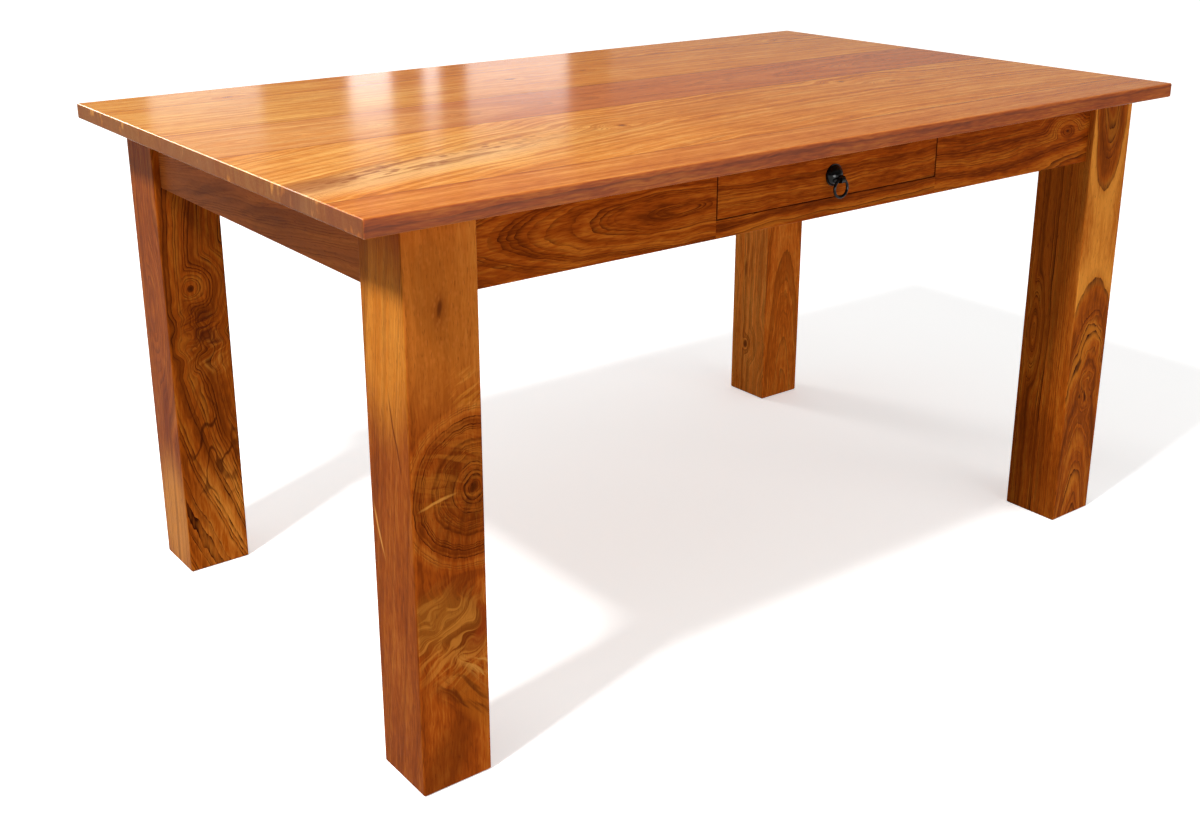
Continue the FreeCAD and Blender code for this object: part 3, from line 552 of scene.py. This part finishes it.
@dataclass(frozen=True)
class Sheesham:
    """Lacquered sheesham: figured heartwood under a clear semi-gloss coat.

    The eye sees dark growth lines on red-brown and gold, short open pores along the grain, and
    soft white reflections from the lacquer that stretch towards it at low angles. shine is the
    shader's specular level, and edge_dullness is how much rougher the narrow faces are. seam is how
    wide in millimetres the glue line darkens a plank's edge: a few times the real width, so that it shows.
    """

    name: str
    face: Figure
    side: Figure | None = None
    roughness: float = 0.3
    shine: float = 0.006
    end_grain: str = "#5e2c10"
    edge_dullness: float = 0.0
    seam: float = 0.0

    def material(self, node: str) -> bpy.types.Material:
        """Make the material for one CAD node.

        Args:
            node: The node whose box places the figure.

        Returns:
            The material.
        """
        made = empty_material(self.name)
        tree = made.node_tree
        sawn = self.face.place(tree, self.face.origin(node))
        normal = add_node(tree, Kind.GEOMETRY, out="Normal")

        def faces(way: Vector) -> Socket:
            """1 on the faces square to a direction, else 0."""
            level = add_node(tree, Kind.VECTOR, {0: normal, 1: way}, "Value", operation="DOT_PRODUCT")
            level = add_node(tree, Kind.MATH, {0: level}, operation="ABSOLUTE")
            return add_node(tree, Kind.RANGE, {0: level, 1: FACING_LOW, 2: FACING_HIGH})

        across, along, depth = self.face.lay.value
        broad = faces(depth)
        line = linear(self.face.palette.line)
        layers = []
        if self.side is not None:
            turned = self.side.place(tree, self.side.origin(node))
            layers.append((faces(self.side.lay.value[2]), self.side.colour(tree, turned)))
        # End grain drinks more lacquer and turns dark and dull, more in some rings than in others.
        drink = cloud(tree, sawn, END_GRAIN_SIZE, 2.0, self.face.seed)
        thirst = add_node(tree, Kind.RANGE, {0: drink, 1: 0.0, 2: THIRST_LEVEL, 3: THIRST_LOW,
                                             4: THIRST_HIGH})
        soaked = add_node(tree, Kind.MATH, {0: faces(along), 1: thirst}, operation="MULTIPLY")
        layers.append((soaked, linear(self.end_grain)))
        if self.seam:
            low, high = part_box(node)
            half = abs(across.dot(high - low)) / 2 / MM
            aside = add_node(tree, Kind.SEPARATE, {0: sawn})
            aside = add_node(tree, Kind.MATH, {0: aside}, operation="ABSOLUTE")
            glue = add_node(tree, Kind.RANGE, {0: aside, 1: half - self.seam, 2: half, 3: 0.0,
                                               4: SEAM_DARKNESS})
            glue = add_node(tree, Kind.MATH, {0: glue, 1: broad}, operation="MULTIPLY")
            layers.append((glue, line))
        pore = add_node(tree, Kind.RANGE, {0: cloud(tree, sawn, PORE_SIZE, 1.0), 1: PORE_LEVEL, 2: 1.0,
                                           3: 0.0, 4: PORE_DARKNESS})
        layers.append((pore, line))
        wood = lay_over(tree, self.face.colour(tree, sawn), layers)

        fibre = cloud(tree, sawn, FIBRE_SIZE, 3.0)
        gloss = add_node(tree, Kind.RANGE, {0: fibre, 3: self.roughness + FIBRE_GLOSS_LOW,
                                            4: self.roughness + FIBRE_GLOSS_HIGH})
        narrow = add_node(tree, Kind.MATH, {0: 1.0, 1: broad}, operation="SUBTRACT")
        gloss = add_node(tree, Kind.MATH, {0: narrow, 1: self.edge_dullness, 2: gloss},
                         operation="MULTIPLY_ADD")
        bump = add_node(tree, Kind.BUMP, {"Strength": 0.12, "Distance": WOOD_RELIEF, "Height": fibre})
        surface = add_node(tree, Kind.SURFACE, {
            "Base Color": wood, "Roughness": gloss, "Normal": bump, "Specular IOR Level": self.shine})
        add_node(tree, Kind.OUTPUT, {"Surface": surface})
        return made


@dataclass(frozen=True)
class BareWood:
    """Planed wood with no lacquer, for what lies under the top and inside the drawer.

    It looks dry and even, with straight pale streaks and no shine.
    """

    name: str
    lay: Lay
    dark: str
    light: str
    roughness: Pair = (0.55, 0.72)

    def material(self) -> bpy.types.Material:
        """Make the material, which every piece with this grain shares."""
        made = empty_material(self.name)
        tree = made.node_tree
        figure = Figure(self.lay, (-160, 0.03, 0), (60, 0.02, 0), ring_width=8.0, line_strength=0.35,
                        palette=Palette(self.dark, self.dark, *[self.light] * 4))
        sawn = figure.place(tree, Vector())
        fibre = cloud(tree, sawn, FIBRE_SIZE, 3.0)
        wood = figure.colour(tree, sawn)
        smooth, rough = self.roughness
        dry = add_node(tree, Kind.RANGE, {0: fibre, 3: smooth, 4: rough})
        bump = add_node(tree, Kind.BUMP, {"Strength": 0.25, "Distance": WOOD_RELIEF, "Height": fibre})
        surface = add_node(tree, Kind.SURFACE, {"Base Color": wood, "Roughness": dry, "Normal": bump})
        add_node(tree, Kind.OUTPUT, {"Surface": surface})
        return made


@dataclass(frozen=True)
class Metal:
    """A cast or plated metal, with a mottled tone and a fine grain that breaks its highlights.

    roughness is its smoothest and roughest and the strength of its grain's relief, and grain is that
    grain's size in millimetres. The mottling is mottle times as coarse.
    """

    name: str
    dark: str
    light: str
    metallic: float
    roughness: Triple
    grain: float
    shine: float = 0.5
    mottle: float = 6

    def material(self) -> bpy.types.Material:
        """Make the material, which every piece of this metal shares."""
        made = empty_material(self.name)
        tree = made.node_tree
        spot = add_node(tree, Kind.COORDINATES, out="Object")
        mottle = add_node(tree, Kind.NOISE, {"Vector": spot, "Scale": 1 / (self.mottle * self.grain * MM),
                                             "Detail": 3.0})
        grit = add_node(tree, Kind.NOISE, {"Vector": spot, "Scale": 1 / (self.grain * MM), "Detail": 2.0})
        tone = add_node(tree, Kind.RAMP, {0: mottle}, stops=[(0.35, self.dark), (0.7, self.light)])
        smooth, rough, relief = self.roughness
        worn = add_node(tree, Kind.RANGE, {0: mottle, 1: NOISE_LOW, 2: NOISE_HIGH, 3: smooth, 4: rough})
        bump = add_node(tree, Kind.BUMP, {"Strength": relief, "Distance": METAL_RELIEF, "Height": grit})
        surface = add_node(tree, Kind.SURFACE, {
            "Base Color": tone, "Roughness": worn, "Metallic": self.metallic, "Normal": bump,
            "Specular IOR Level": self.shine})
        add_node(tree, Kind.OUTPUT, {"Surface": surface})
        return made


def dress(node: str, material: bpy.types.Material) -> None:
    """Give a CAD node a material in each of its slots and report it.

    Args:
        node: The CAD node's name.
        material: What it is made of.
    """
    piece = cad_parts[node]
    for slot in piece.material_slots:
        slot.material = material
    LOG.info("%s: %s", node, material.name)


AMBER = Palette("#421804", "#7c340a", "#a24a10", "#bf6a22", "#c0701e", "#d8943e")
# The next palette is a darker copy of these tones for faces that look to the left or right. It is partly the
# wood's own tone and partly painted shade, which dims the key light on those faces.
HAZEL_PAINTED_SHADE = Palette("#4a1d06", "#6e300b", "#8e430f", "#a85c1e", "#b9691b", "#d08632")
UMBER = Palette("#361304", "#7c3808", "#a44e0f", "#be6c1e", "#aa5411", "#da8a34")
CHESTNUT = Palette("#300f03", "#702d06", "#9b450c", "#bc651b", "#aa5a14", "#c47826")
# The next palette is the back right leg's light tones. It is partly the wood's own tone and partly painted
# light, which makes up for the shade the leg stands in under the table.
HONEY_PAINTED_LIGHT = Palette("#5a2608", "#aa4e10", "#d66d1e", "#ec8e36", "#e47a24", "#ffa64a")
GOLDEN = Palette("#8e4610", "#c2681a", "#e0862a", "#f2a54c", "#d8842a", "#ffc468")
RUSSET = Palette("#7e360c", "#b45a1c", "#d27a2c", "#e49444", "#d88430", "#eaa24c")
COPPER = Palette("#86401a", "#b25a26", "#c96e30", "#da8442", "#dc8834", "#fcbe6c")


@dataclass
class PlankTop:
    """The five planks of the top, each sawn from another log."""

    boards: dict[str, Figure] = field(default_factory=lambda: {
        "back": Figure(
            Lay.TOP, (-190, 0.02, 0.00003), (70, 0.02, 0), seed=1.3, ring_width=3.4, line_strength=0.7,
            palette=GOLDEN,
            knots=(Knot(-34, -545, 22, 1.8, core=7), Knot(-64, 310, 26, 2.0, core=6),
                   Knot(-64, 640, 30, 1.5, core=9)),
            sap_patches=(Mark(PATCH, 0, -600, 110, 380, strength=0.7),),
            markings=(Mark(STREAKS, 0, -250, 90, 640, "#b8601a", 0.45, 0, 13),)),
        "rear": Figure(
            Lay.TOP, (-230, -0.02, -0.00002), (60, 0.01, 0), seed=4.1, ring_width=3.4, line_strength=0.7,
            palette=GOLDEN, knots=(Knot(20, -95, 24, 2.0, core=8), Knot(28, 62, 20, 2.2, core=5)),
            sap_patches=(Mark(PATCH, 0, -560, 190, 460, strength=0.8),),
            markings=(Mark(STREAKS, 0, -300, 150, 620, "#bc641a", 0.45, 0, 14),)),
        "middle": Figure(
            Lay.TOP, (-10, 0.0, 0), (72, 0, -0.00018), seed=7.7, ring_width=4.0, line_strength=0.6,
            contrast=0.5, palette=COPPER, knots=(Knot(56, 590, 24, 1.7, 1.8, blend=6, core=8),),
            sap_patches=(Mark(PATCH, 0, -640, 150, 460, strength=0.8),),
            markings=(Mark(STREAKS, 0, -450, 120, 420, "#bc6a2a", 0.4, 0, 13),)),
        "wide": Figure(
            Lay.TOP, (-260, 0.1, -0.000167), (60, 0, 0), seed=2.9, waver=22, ring_width=3.4, contrast=0.9,
            palette=GOLDEN,
            knots=(Knot(15, -205, 18, 1.5, core=6), Knot(60, 400, 24, 2.0, core=6),
                   Knot(115, 330, 20, 2.0, core=5)),
            sap_patches=(Mark(PATCH, 20, -520, 200, 440, strength=0.6),),
            stains=(Mark(PATCH, -60, -600, 60, 330, "#ffcf8c", 0.5, 13.5),
                    Mark(PATCH, -62, -720, 46, 90, "#9a5420", 0.7, 13)),
            markings=(Mark(STREAKS, 20, 60, 150, 640, "#b8661c", 0.35, -4, 15),
                      Mark(SPECKS, -28, -560, 46, 330, "#8f4818", 0.75, 13.5, 13),
                      Mark(STREAKS, -34, -580, 50, 320, "#96501e", 0.75, 13.5, 12))),
        "front": Figure(
            Lay.TOP, (-150, 0.03, 0), (60, 0.01, 0), seed=9.2, ring_width=4.0, line_strength=0.5,
            palette=RUSSET),
    })
    edge: Figure = Figure(Lay.FRONT_LEVEL, (-60, 0.004, 0), (40, 0, 0), seed=3.3, waver=4,
                          line_strength=0.8, palette=CHESTNUT)

    def dress(self) -> None:
        """Give each plank its own figure."""
        for name, figure in self.boards.items():
            node = f"top_board_{name}"
            finish = Sheesham(f"lacquered_sheesham_top_{name}", figure, self.edge, roughness=0.15,
                              shine=0.3, edge_dullness=0.6, seam=3.0)
            dress(node, finish.material(node))


@dataclass
class LegSet:
    """Four square legs. Each shows one figure on its front and back and another on its sides."""

    front_left: tuple[Figure, Figure] = (
        Figure(
            Lay.FRONT_UPRIGHT, (-20, 0.02, 0), (118, 0.012, 0), plain=106, seed=3.1, waver=8,
            wobble=4.5, ring_width=4.0, line_strength=1.5, contrast=0.8, palette=AMBER,
            knots=(Knot(37, 33, 118, 1.08, blend=16, core=9),),
            swirls=(Swirl(0, -150, 80, 90, 34, 46), Swirl(20, 20, 120, 150, 3, 17)),
            sap_patches=(
                Mark(PATCH, 0, 300, 120, 220, strength=0.45),
                Mark(STREAKS, 25, 165, 50, 34, strength=0.8, lean=60, grain=6)),
            stains=(
                Mark(PATCH, 30, 25, 115, 135, "#6a2d07", 0.35),
                Mark(STREAKS, 10, 30, 75, 110, "#4e1f05", 0.5, 20, 13),
                Mark(STREAKS, 10, 60, 90, 90, "#b8691f", 0.5, -70, 10),
                Mark(PATCH, 0, -140, 90, 60, "#5e2606", 0.6, 30),
                Mark(PATCH, -20, -345, 40, 120, "#6a2c07", 0.6, 25),
                Mark(PATCH, 30, -260, 26, 80, "#aa5a16", 0.6, -30),
                Mark(PATCH, -18, -130, 60, 55, "#b46e24", 0.4, 20),
                Mark(PATCH, 0, 300, 130, 240, "#cc6a24", 0.3),
                Mark(PATCH, -3, 262, 14, 30, "#8a4212", 0.5)),
            markings=(
                Mark(SPECKS, 37, 33, 12, 16, "#2a0d02", 0.9, 0, 5),
                Mark(SPECKS, 0, 270, 80, 160, "#c8702c", 0.35, 0, 6),
                Mark(STREAKS, -5, -160, 100, 80, "#cc8030", 0.6, 58, 7),
                Mark(PATCH, 42, -148, 18, 26, "#8e3a10", 0.8),
                Mark(STREAKS, 14, -246, 30, 70, "#542206", 0.75, -41, 9),
                Mark(STREAKS, 40, -216, 20, 60, "#cc8c3c", 0.7, -41, 6),
                Mark(PATCH, -15, 28, 3, 32, "#d58f3c", 0.7, 78),
                Mark(PATCH, -3, 265, 5, 14, "#4b1c05", 0.7, 10))),
        Figure(
            Lay.LEFT_UPRIGHT, (-160, 0.12, 0), (30, 0, 0), seed=5.9, waver=10, line_strength=0.55,
            palette=HAZEL_PAINTED_SHADE,
            sap_patches=(Mark(PATCH, 0, 230, 85, 170, strength=0.95),),
            markings=(Mark(PATCH, 18, 110, 2.5, 70, "#5a2406", 0.8, -14),
                      Mark(PATCH, -32, -30, 3, 45, "#d08f46", 0.8, -20))))
    front_right: tuple[Figure, Figure] = (
        Figure(
            Lay.FRONT_UPRIGHT, (0, 0, 0), (56, 0, 0), heart=47, plain=48, seed=8.4, waver=8,
            wobble=9, ring_width=4.2, line_strength=1.2, contrast=1.3, palette=UMBER,
            knots=(Knot(-4, 400, 52, 4.0, blend=6), Knot(9, -143, 72, 3.0, blend=6, core=5),
                   Knot(0, -450, 111, 5.0, blend=6)),
            swirls=(Swirl(0, -90, 90, 150, 14, 34),),
            stains=(Mark(PATCH, -4, 410, 48, 170, "#6a2f0c", 0.45),),
            markings=(
                Mark(SPECKS, 9, -143, 30, 26, "#2a0d02", 0.8, 0, 8),
                Mark(PATCH, -22, -83, 6, 14, "#3a1404", 0.8, 20))),
        Figure(
            Lay.LEFT_UPRIGHT, (-160, 0, 0), (20, 0, 0), seed=2.2, waver=4, wobble=3,
            ring_width=3.2, line_strength=1.2, contrast=0.9, palette=UMBER,
            knots=(Knot(-28, -34, 19, 5.4, 2.2, blend=4),),
            stains=(Mark(PATCH, 0, 130, 110, 330, "#b0601e", 0.3),
                    Mark(PATCH, 0, -340, 110, 220, "#5a2406", 0.45)),
            sap_patches=(Mark(PATCH, 52, 170, 16, 320, strength=1.0),)))
    back_left: tuple[Figure, Figure] = (
        Figure(
            Lay.FRONT_UPRIGHT, (-110, -0.12, 0.0005), (30, 0, 0), seed=6.6, wobble=6,
            ring_width=4.6, line_strength=1.4, contrast=0.8, palette=UMBER,
            knots=(Knot(-10, 110, 34, 1.05, blend=10, core=6),),
            swirls=(Swirl(0, 20, 80, 90, 26, 40),),
            sap_patches=(Mark(STREAKS, 10, 0, 60, 45, strength=0.8, lean=50, grain=7),
                         Mark(PATCH, 10, -290, 60, 160, strength=0.8)),
            stains=(Mark(PATCH, 0, 60, 130, 420, "#4a1e06", 0.3),),
            markings=(
                Mark(STREAKS, 0, 48, 60, 36, "#43180a", 0.8, 62, 6),
                Mark(INK, 5, -165, 60, 130, "#3a1505", 0.75, 0, 38),
                Mark(SPECKS, -35, -290, 18, 50, "#2a0d02", 0.8, 0, 11))),
        Figure(
            Lay.LEFT_UPRIGHT, (-120, 0.05, 0), (20, 0, 0), seed=1.7, waver=8, palette=HAZEL_PAINTED_SHADE,
            line_strength=0.8, knots=(Knot(-10, 69, 40, 2.6, 0.9, blend=10),),
            stains=(Mark(PATCH, 5, -93, 20, 90, "#6e2a08", 0.6, 8),
                    Mark(PATCH, 0, -290, 80, 150, "#c88238", 0.8))))
    # The back right leg's light palette is partly painted light against the shade under the table.
    back_right: tuple[Figure, Figure] = (
        Figure(
            Lay.FRONT_UPRIGHT, (5, 0, 0), (60, 0.12, 0), seed=3.8, waver=8, ring_width=3.6,
            line_strength=0.8, palette=HONEY_PAINTED_LIGHT),
        Figure(
            Lay.LEFT_UPRIGHT, (-130, 0.02, 0), (25, 0, 0), seed=5.3, waver=5, ring_width=3.6,
            line_strength=0.8, palette=HONEY_PAINTED_LIGHT, knots=(Knot(-7, -258, 18, 1.5, core=8),),
            sap_patches=(Mark(PATCH, 0, 0, 150, 700, strength=0.8),),
            markings=(Mark(STREAKS, 0, 0, 80, 500, "#8a3c0c", 0.4, 0, 12),
                      Mark(PATCH, -14, -91, 3, 28, "#4a1c06", 0.7))))

    def dress(self) -> None:
        """Give each leg its two figures."""
        for corner, (front, side) in vars(self).items():
            node = f"leg_{corner}"
            dress(node, Sheesham(f"lacquered_sheesham_leg_{corner}", front, side).material(node))


@dataclass
class ApronFrame:
    """The aprons between the legs, and the plain wood and the bolts behind them."""

    figures: dict[str, Figure] = field(default_factory=lambda: {
        "apron_front_left": Figure(
            Lay.FRONT_LEVEL, (3, -0.02, 0), (21, -0.17, 0), seed=1.1, waver=8, wobble=6, ring_width=3.4,
            line_strength=1.0, contrast=0.9, palette=CHESTNUT),
        "apron_front_right": Figure(
            Lay.FRONT_LEVEL, (-70, 0.05, 0.0004), (40, 0, 0), seed=6.3, wobble=6, ring_width=3.4,
            line_strength=1.1, contrast=0.9, palette=CHESTNUT, knots=(Knot(10, 130, 26, 1.6, core=4),)),
        "apron_front_rail": Figure(
            Lay.FRONT_LEVEL, (-90, 0.04, 0), (30, 0.06, 0), seed=2.6, wobble=6, ring_width=3.2,
            line_strength=1.1, contrast=0.9, palette=CHESTNUT),
        "apron_left": Figure(
            Lay.LEFT_LEVEL, (-150, 0.12, 0), (40, 0, 0), seed=4.9, line_strength=0.8, palette=HAZEL_PAINTED_SHADE,
            stains=(Mark(PATCH, 0, 0, 200, 900, "#bc6e36", 0.45),),
            markings=(Mark(STREAKS, 0, 0, 70, 420, "#5a2a10", 0.5, 10, 22),)),
        "apron_right": Figure(
            Lay.LEFT_LEVEL, (-130, -0.1, 0), (40, 0, 0), seed=8.8, palette=HAZEL_PAINTED_SHADE),
        "apron_back": Figure(
            Lay.FRONT_LEVEL, (-120, 0.03, 0), (50, 0.05, 0), seed=7.2, palette=UMBER),
    })

    def dress(self) -> None:
        """Give the aprons their figures, the wood behind them a bare finish and the bolts zinc plate."""
        for node, figure in self.figures.items():
            dress(node, Sheesham(f"lacquered_sheesham_{node}", figure).material(node))
        grains = {"bare_sheesham": Lay.LEFT_LEVEL, "bare_sheesham_rising": Lay.RISING_BRACE,
                  "bare_sheesham_falling": Lay.FALLING_BRACE}
        along, rising, falling = (BareWood(name, lay, "#7a4a22", "#a9763f").material()
                                  for name, lay in grains.items())
        for side in ("left", "right"):
            for piece in ("top_batten", "drawer_runner", "drawer_kicker", "drawer_stop"):
                dress(f"{piece}_{side}", along)
        for corner in ("front_left", "back_right"):
            dress(f"corner_brace_{corner}", falling)
        for corner in ("front_right", "back_left"):
            dress(f"corner_brace_{corner}", rising)
        # Bright zinc plate gives a pale, slightly blue-grey metal with soft highlights.
        zinc = Metal("bright_zinc_plated_steel", "#9a9fa3", "#c4c8ca", 1.0, (0.3, 0.45, 0.08),
                     0.6).material()
        for node in ("hanger_bolts", "hanger_washers", "hanger_nuts", "batten_screws"):
            dress(node, zinc)


@dataclass
class Drawer:
    """The drawer: a lacquered front on a bare box, and its iron ring pull."""

    front: Figure = Figure(Lay.FRONT_LEVEL, (-150, 0.02, 0.0001), (40, 0.05, 0), seed=5.5, waver=14,
                           wobble=6, ring_width=3.0, line_strength=1.1, contrast=0.9, palette=CHESTNUT)

    def dress(self) -> None:
        """Give the front its figure, the box bare wood and the pull its black iron."""
        panel = "drawer_front"
        dress(panel, Sheesham(f"lacquered_sheesham_{panel}", self.front).material(panel))
        grains = {"bare_mango": Lay.LEFT_LEVEL, "bare_mango_across": Lay.FRONT_LEVEL}
        side, across = (BareWood(name, lay, "#a8783f", "#c99c60").material()
                        for name, lay in grains.items())
        for node in ("drawer_side_left", "drawer_side_right"):
            dress(node, side)
        for node in ("drawer_back", "drawer_bottom"):
            dress(node, across)
        # Black lacquer on cast iron gives a near-black skin with small sharp highlights.
        iron = Metal("black_lacquered_iron", "#050404", "#0d0b0a", 0.0, (0.12, 0.2, 0.06), 0.8,
                     0.14).material()
        for node in ("pull_boss", "pull_ring", "pull_bolt", "pull_washer"):
            dress(node, iron)


@dataclass(frozen=True)
class Lamp:
    """One soft rectangular lamp, out of the camera's sight. Lengths in metres, power in watts.

    lighting is whether it lights matt surfaces, and mirrored whether glossy ones show it.
    """

    name: str
    place: Triple
    aim: Triple
    size: Pair
    power: float
    lighting: bool = True
    mirrored: bool = True

    def hang(self) -> None:
        """Put the lamp into the scene."""
        data = bpy.data.lights.new(self.name, "AREA")
        data.shape = "RECTANGLE"
        data.size, data.size_y = self.size
        data.energy = self.power
        lamp = bpy.data.objects.new(self.name, data)
        lamp.location = self.place
        lamp.rotation_euler = (Vector(self.aim) - Vector(self.place)).to_track_quat("-Z", "Y").to_euler()
        lamp.visible_camera = False
        lamp.visible_diffuse = self.lighting
        lamp.visible_glossy = self.mirrored
        bpy.context.scene.collection.objects.link(lamp)


# The key comes from the upper left, the fill from the front and the window from behind. The glint is
# only for the pull.
LAMPS = (
    Lamp("key", (-3.2, -0.9, 4.4), (-0.3, -0.1, 0.5), (0.5, 0.5), 285),
    Lamp("fill", (1.0, -4.2, 1.4), (0.2, 0.0, 0.45), (4.0, 2.4), 62, mirrored=False),
    Lamp("glint", (-0.46, -1.53, 0.56), (0.0, -0.42, 0.69), (0.5, 0.36), 11, lighting=False),
    Lamp("window_behind", (-0.9, 4.6, 2.7), (-0.6, 0.0, 0.8), (1.2, 1.4), 52),
)
# Bright panels that the top reflects: bearing and span from the camera in degrees, and glow.
PANELS = {
    "wall": (34.4, 36.8, 0.15),
    "window_wide": (55.9, 4.0, 1.1),
    "window_thin": (59.3, 0.6, 1.5),
    "window_bright": (61.7, 1.6, 1.9),
    "window_far": (68.0, 4.2, 0.85),
}


@dataclass
class Studio:
    """Floor, light and camera. Lengths in metres, angles in degrees, strengths in Cycles units.

    The eye sees floor_colour, and floor_bounce lights the table. floor_glow is the light that the
    floor adds for the eye, near the table and far from it, and floor_fade the distances between which
    it grows. sky_rise and haze_rise are heights above the horizon, as sines, between which the sky
    brightens by sky_glow and the haze clears.
    """

    floor_radius: float = 60.0
    floor_sides: int = 96
    floor_colour: str = "#fbfbfa"
    floor_bounce: str = "#c8c6c2"
    floor_glow: Pair = (0.42, 0.75)
    floor_fade: Pair = (1.8, 6.0)
    sky_rise: Pair = (0.1, 0.9)
    sky_glow: Pair = (0.08, 0.52)
    haze_rise: Pair = (0.05, 0.08)
    panel_reach: float = 5.0
    panel_rise: Pair = (0.9, 1.26)
    eye: Triple = (-1.439, -1.760, 1.130)
    pitch: float = 71.8
    heading: float = -37.4
    focal: float = 43.11
    sensor: float = 36.0
    shift: float = -0.08

    def build(self) -> None:
        """Make the floor, the sky, the lamps and the camera."""
        self.lay_floor()
        self.light_sky()
        self.hang_lamps()
        self.set_camera()

    @staticmethod
    def seen(tree: Tree) -> Socket:
        """1 where the eye sees a surface, straight or in a mirror or glass, else 0."""
        ray = add_node(tree, Kind.RAY).node.outputs
        seen = ray["Is Camera Ray"]
        for other in ("Is Glossy Ray", "Is Transmission Ray"):
            seen = add_node(tree, Kind.MATH, {0: seen, 1: ray[other]}, operation="MAXIMUM")
        return seen

    def lay_floor(self) -> None:
        """A pale round floor that reaches far behind the table."""
        shape = bmesh.new()
        bmesh.ops.create_circle(shape, cap_ends=True, segments=self.floor_sides, radius=self.floor_radius)
        mesh = bpy.data.meshes.new("floor")
        shape.to_mesh(mesh)
        shape.free()
        floor = bpy.data.objects.new("floor", mesh)
        bpy.context.scene.collection.objects.link(floor)
        made = empty_material("matt_white_floor")
        tree = made.node_tree
        seen = self.seen(tree)
        tone = lay_over(tree, linear(self.floor_bounce), [(seen, linear(self.floor_colour))])
        spot = add_node(tree, Kind.COORDINATES, out="Object")
        reach = add_node(tree, Kind.VECTOR, {0: spot}, "Value", operation="LENGTH")
        (near, far), (start, stop) = self.floor_glow, self.floor_fade
        glow = add_node(tree, Kind.RANGE, {0: reach, 1: start, 2: stop, 3: near, 4: far})
        glow = add_node(tree, Kind.MATH, {0: seen, 1: glow}, operation="MULTIPLY")
        surface = add_node(tree, Kind.SURFACE, {
            "Base Color": tone, "Roughness": 0.9, "Specular IOR Level": 0.0, "Emission Color": WHITE,
            "Emission Strength": glow})
        add_node(tree, Kind.OUTPUT, {"Surface": surface})
        mesh.materials.append(made)

    def light_sky(self) -> None:
        """A soft sky, dim low down and bright overhead, with white haze at the horizon for mirrors.

        The camera sees plain white instead.
        """
        world = bpy.data.worlds.new("soft_sky")
        bpy.context.scene.world = world
        world.use_nodes = True
        tree = world.node_tree
        tree.nodes.clear()
        way = add_node(tree, Kind.COORDINATES, out="Generated")
        up = add_node(tree, Kind.VECTOR, {0: way, 1: Z}, "Value", operation="DOT_PRODUCT")
        (low, high), (dim, bright) = self.sky_rise, self.sky_glow
        glow = add_node(tree, Kind.RANGE, {0: up, 1: low, 2: high, 3: dim, 4: bright},
                        interpolation_type="SMOOTHSTEP")
        thick, clear = self.haze_rise
        haze = add_node(tree, Kind.RANGE, {0: up, 1: thick, 2: clear, 3: 1.0, 4: 0.0},
                        interpolation_type="SMOOTHSTEP")
        haze = add_node(tree, Kind.MATH, {0: haze, 1: self.seen(tree)}, operation="MULTIPLY")
        straight = add_node(tree, Kind.RAY, out="Is Camera Ray")
        for white in (haze, straight):
            glow = add_node(tree, Kind.MATH, {0: glow, 1: white}, operation="MAXIMUM")
        sky = add_node(tree, Kind.SKY, {"Color": WHITE, "Strength": glow})
        add_node(tree, Kind.SKY_OUTPUT, {"Surface": sky})

    def hang_lamps(self) -> None:
        """Hang the lamps, and the panels in an arc about the camera."""
        for lamp in LAMPS:
            lamp.hang()
        low, high = self.panel_rise
        middle = (low + high) / 2
        for name, (bearing, span, glow) in PANELS.items():
            turn = math.radians(bearing)
            x = self.eye[0] + self.panel_reach * math.cos(turn)
            y = self.eye[1] + self.panel_reach * math.sin(turn)
            width = self.panel_reach * math.radians(span)
            area = width * (high - low)
            # A lamp's glow is its power over pi times its area.
            Lamp(name, (x, y, middle), (self.eye[0], self.eye[1], middle), (width, high - low),
                 math.pi * area * glow).hang()

    def set_camera(self) -> None:
        """Stand the camera where the photograph was taken from."""
        data = bpy.data.cameras.new("camera")
        data.sensor_width = self.sensor
        data.lens = self.focal
        data.shift_y = self.shift
        camera = bpy.data.objects.new("camera", data)
        camera.location = self.eye
        camera.rotation_euler = (math.radians(self.pitch), 0.0, math.radians(self.heading))
        bpy.context.scene.collection.objects.link(camera)
        bpy.context.scene.camera = camera
        bpy.context.scene.view_settings.view_transform = "Standard"


def main() -> None:
    """Dress the table and light it."""
    logging.basicConfig(level=logging.INFO, format="%(name)s %(message)s")
    for part in (PlankTop(), LegSet(), ApronFrame(), Drawer()):
        part.dress()
    Studio().build()


if __name__ == "__main__":
    main()
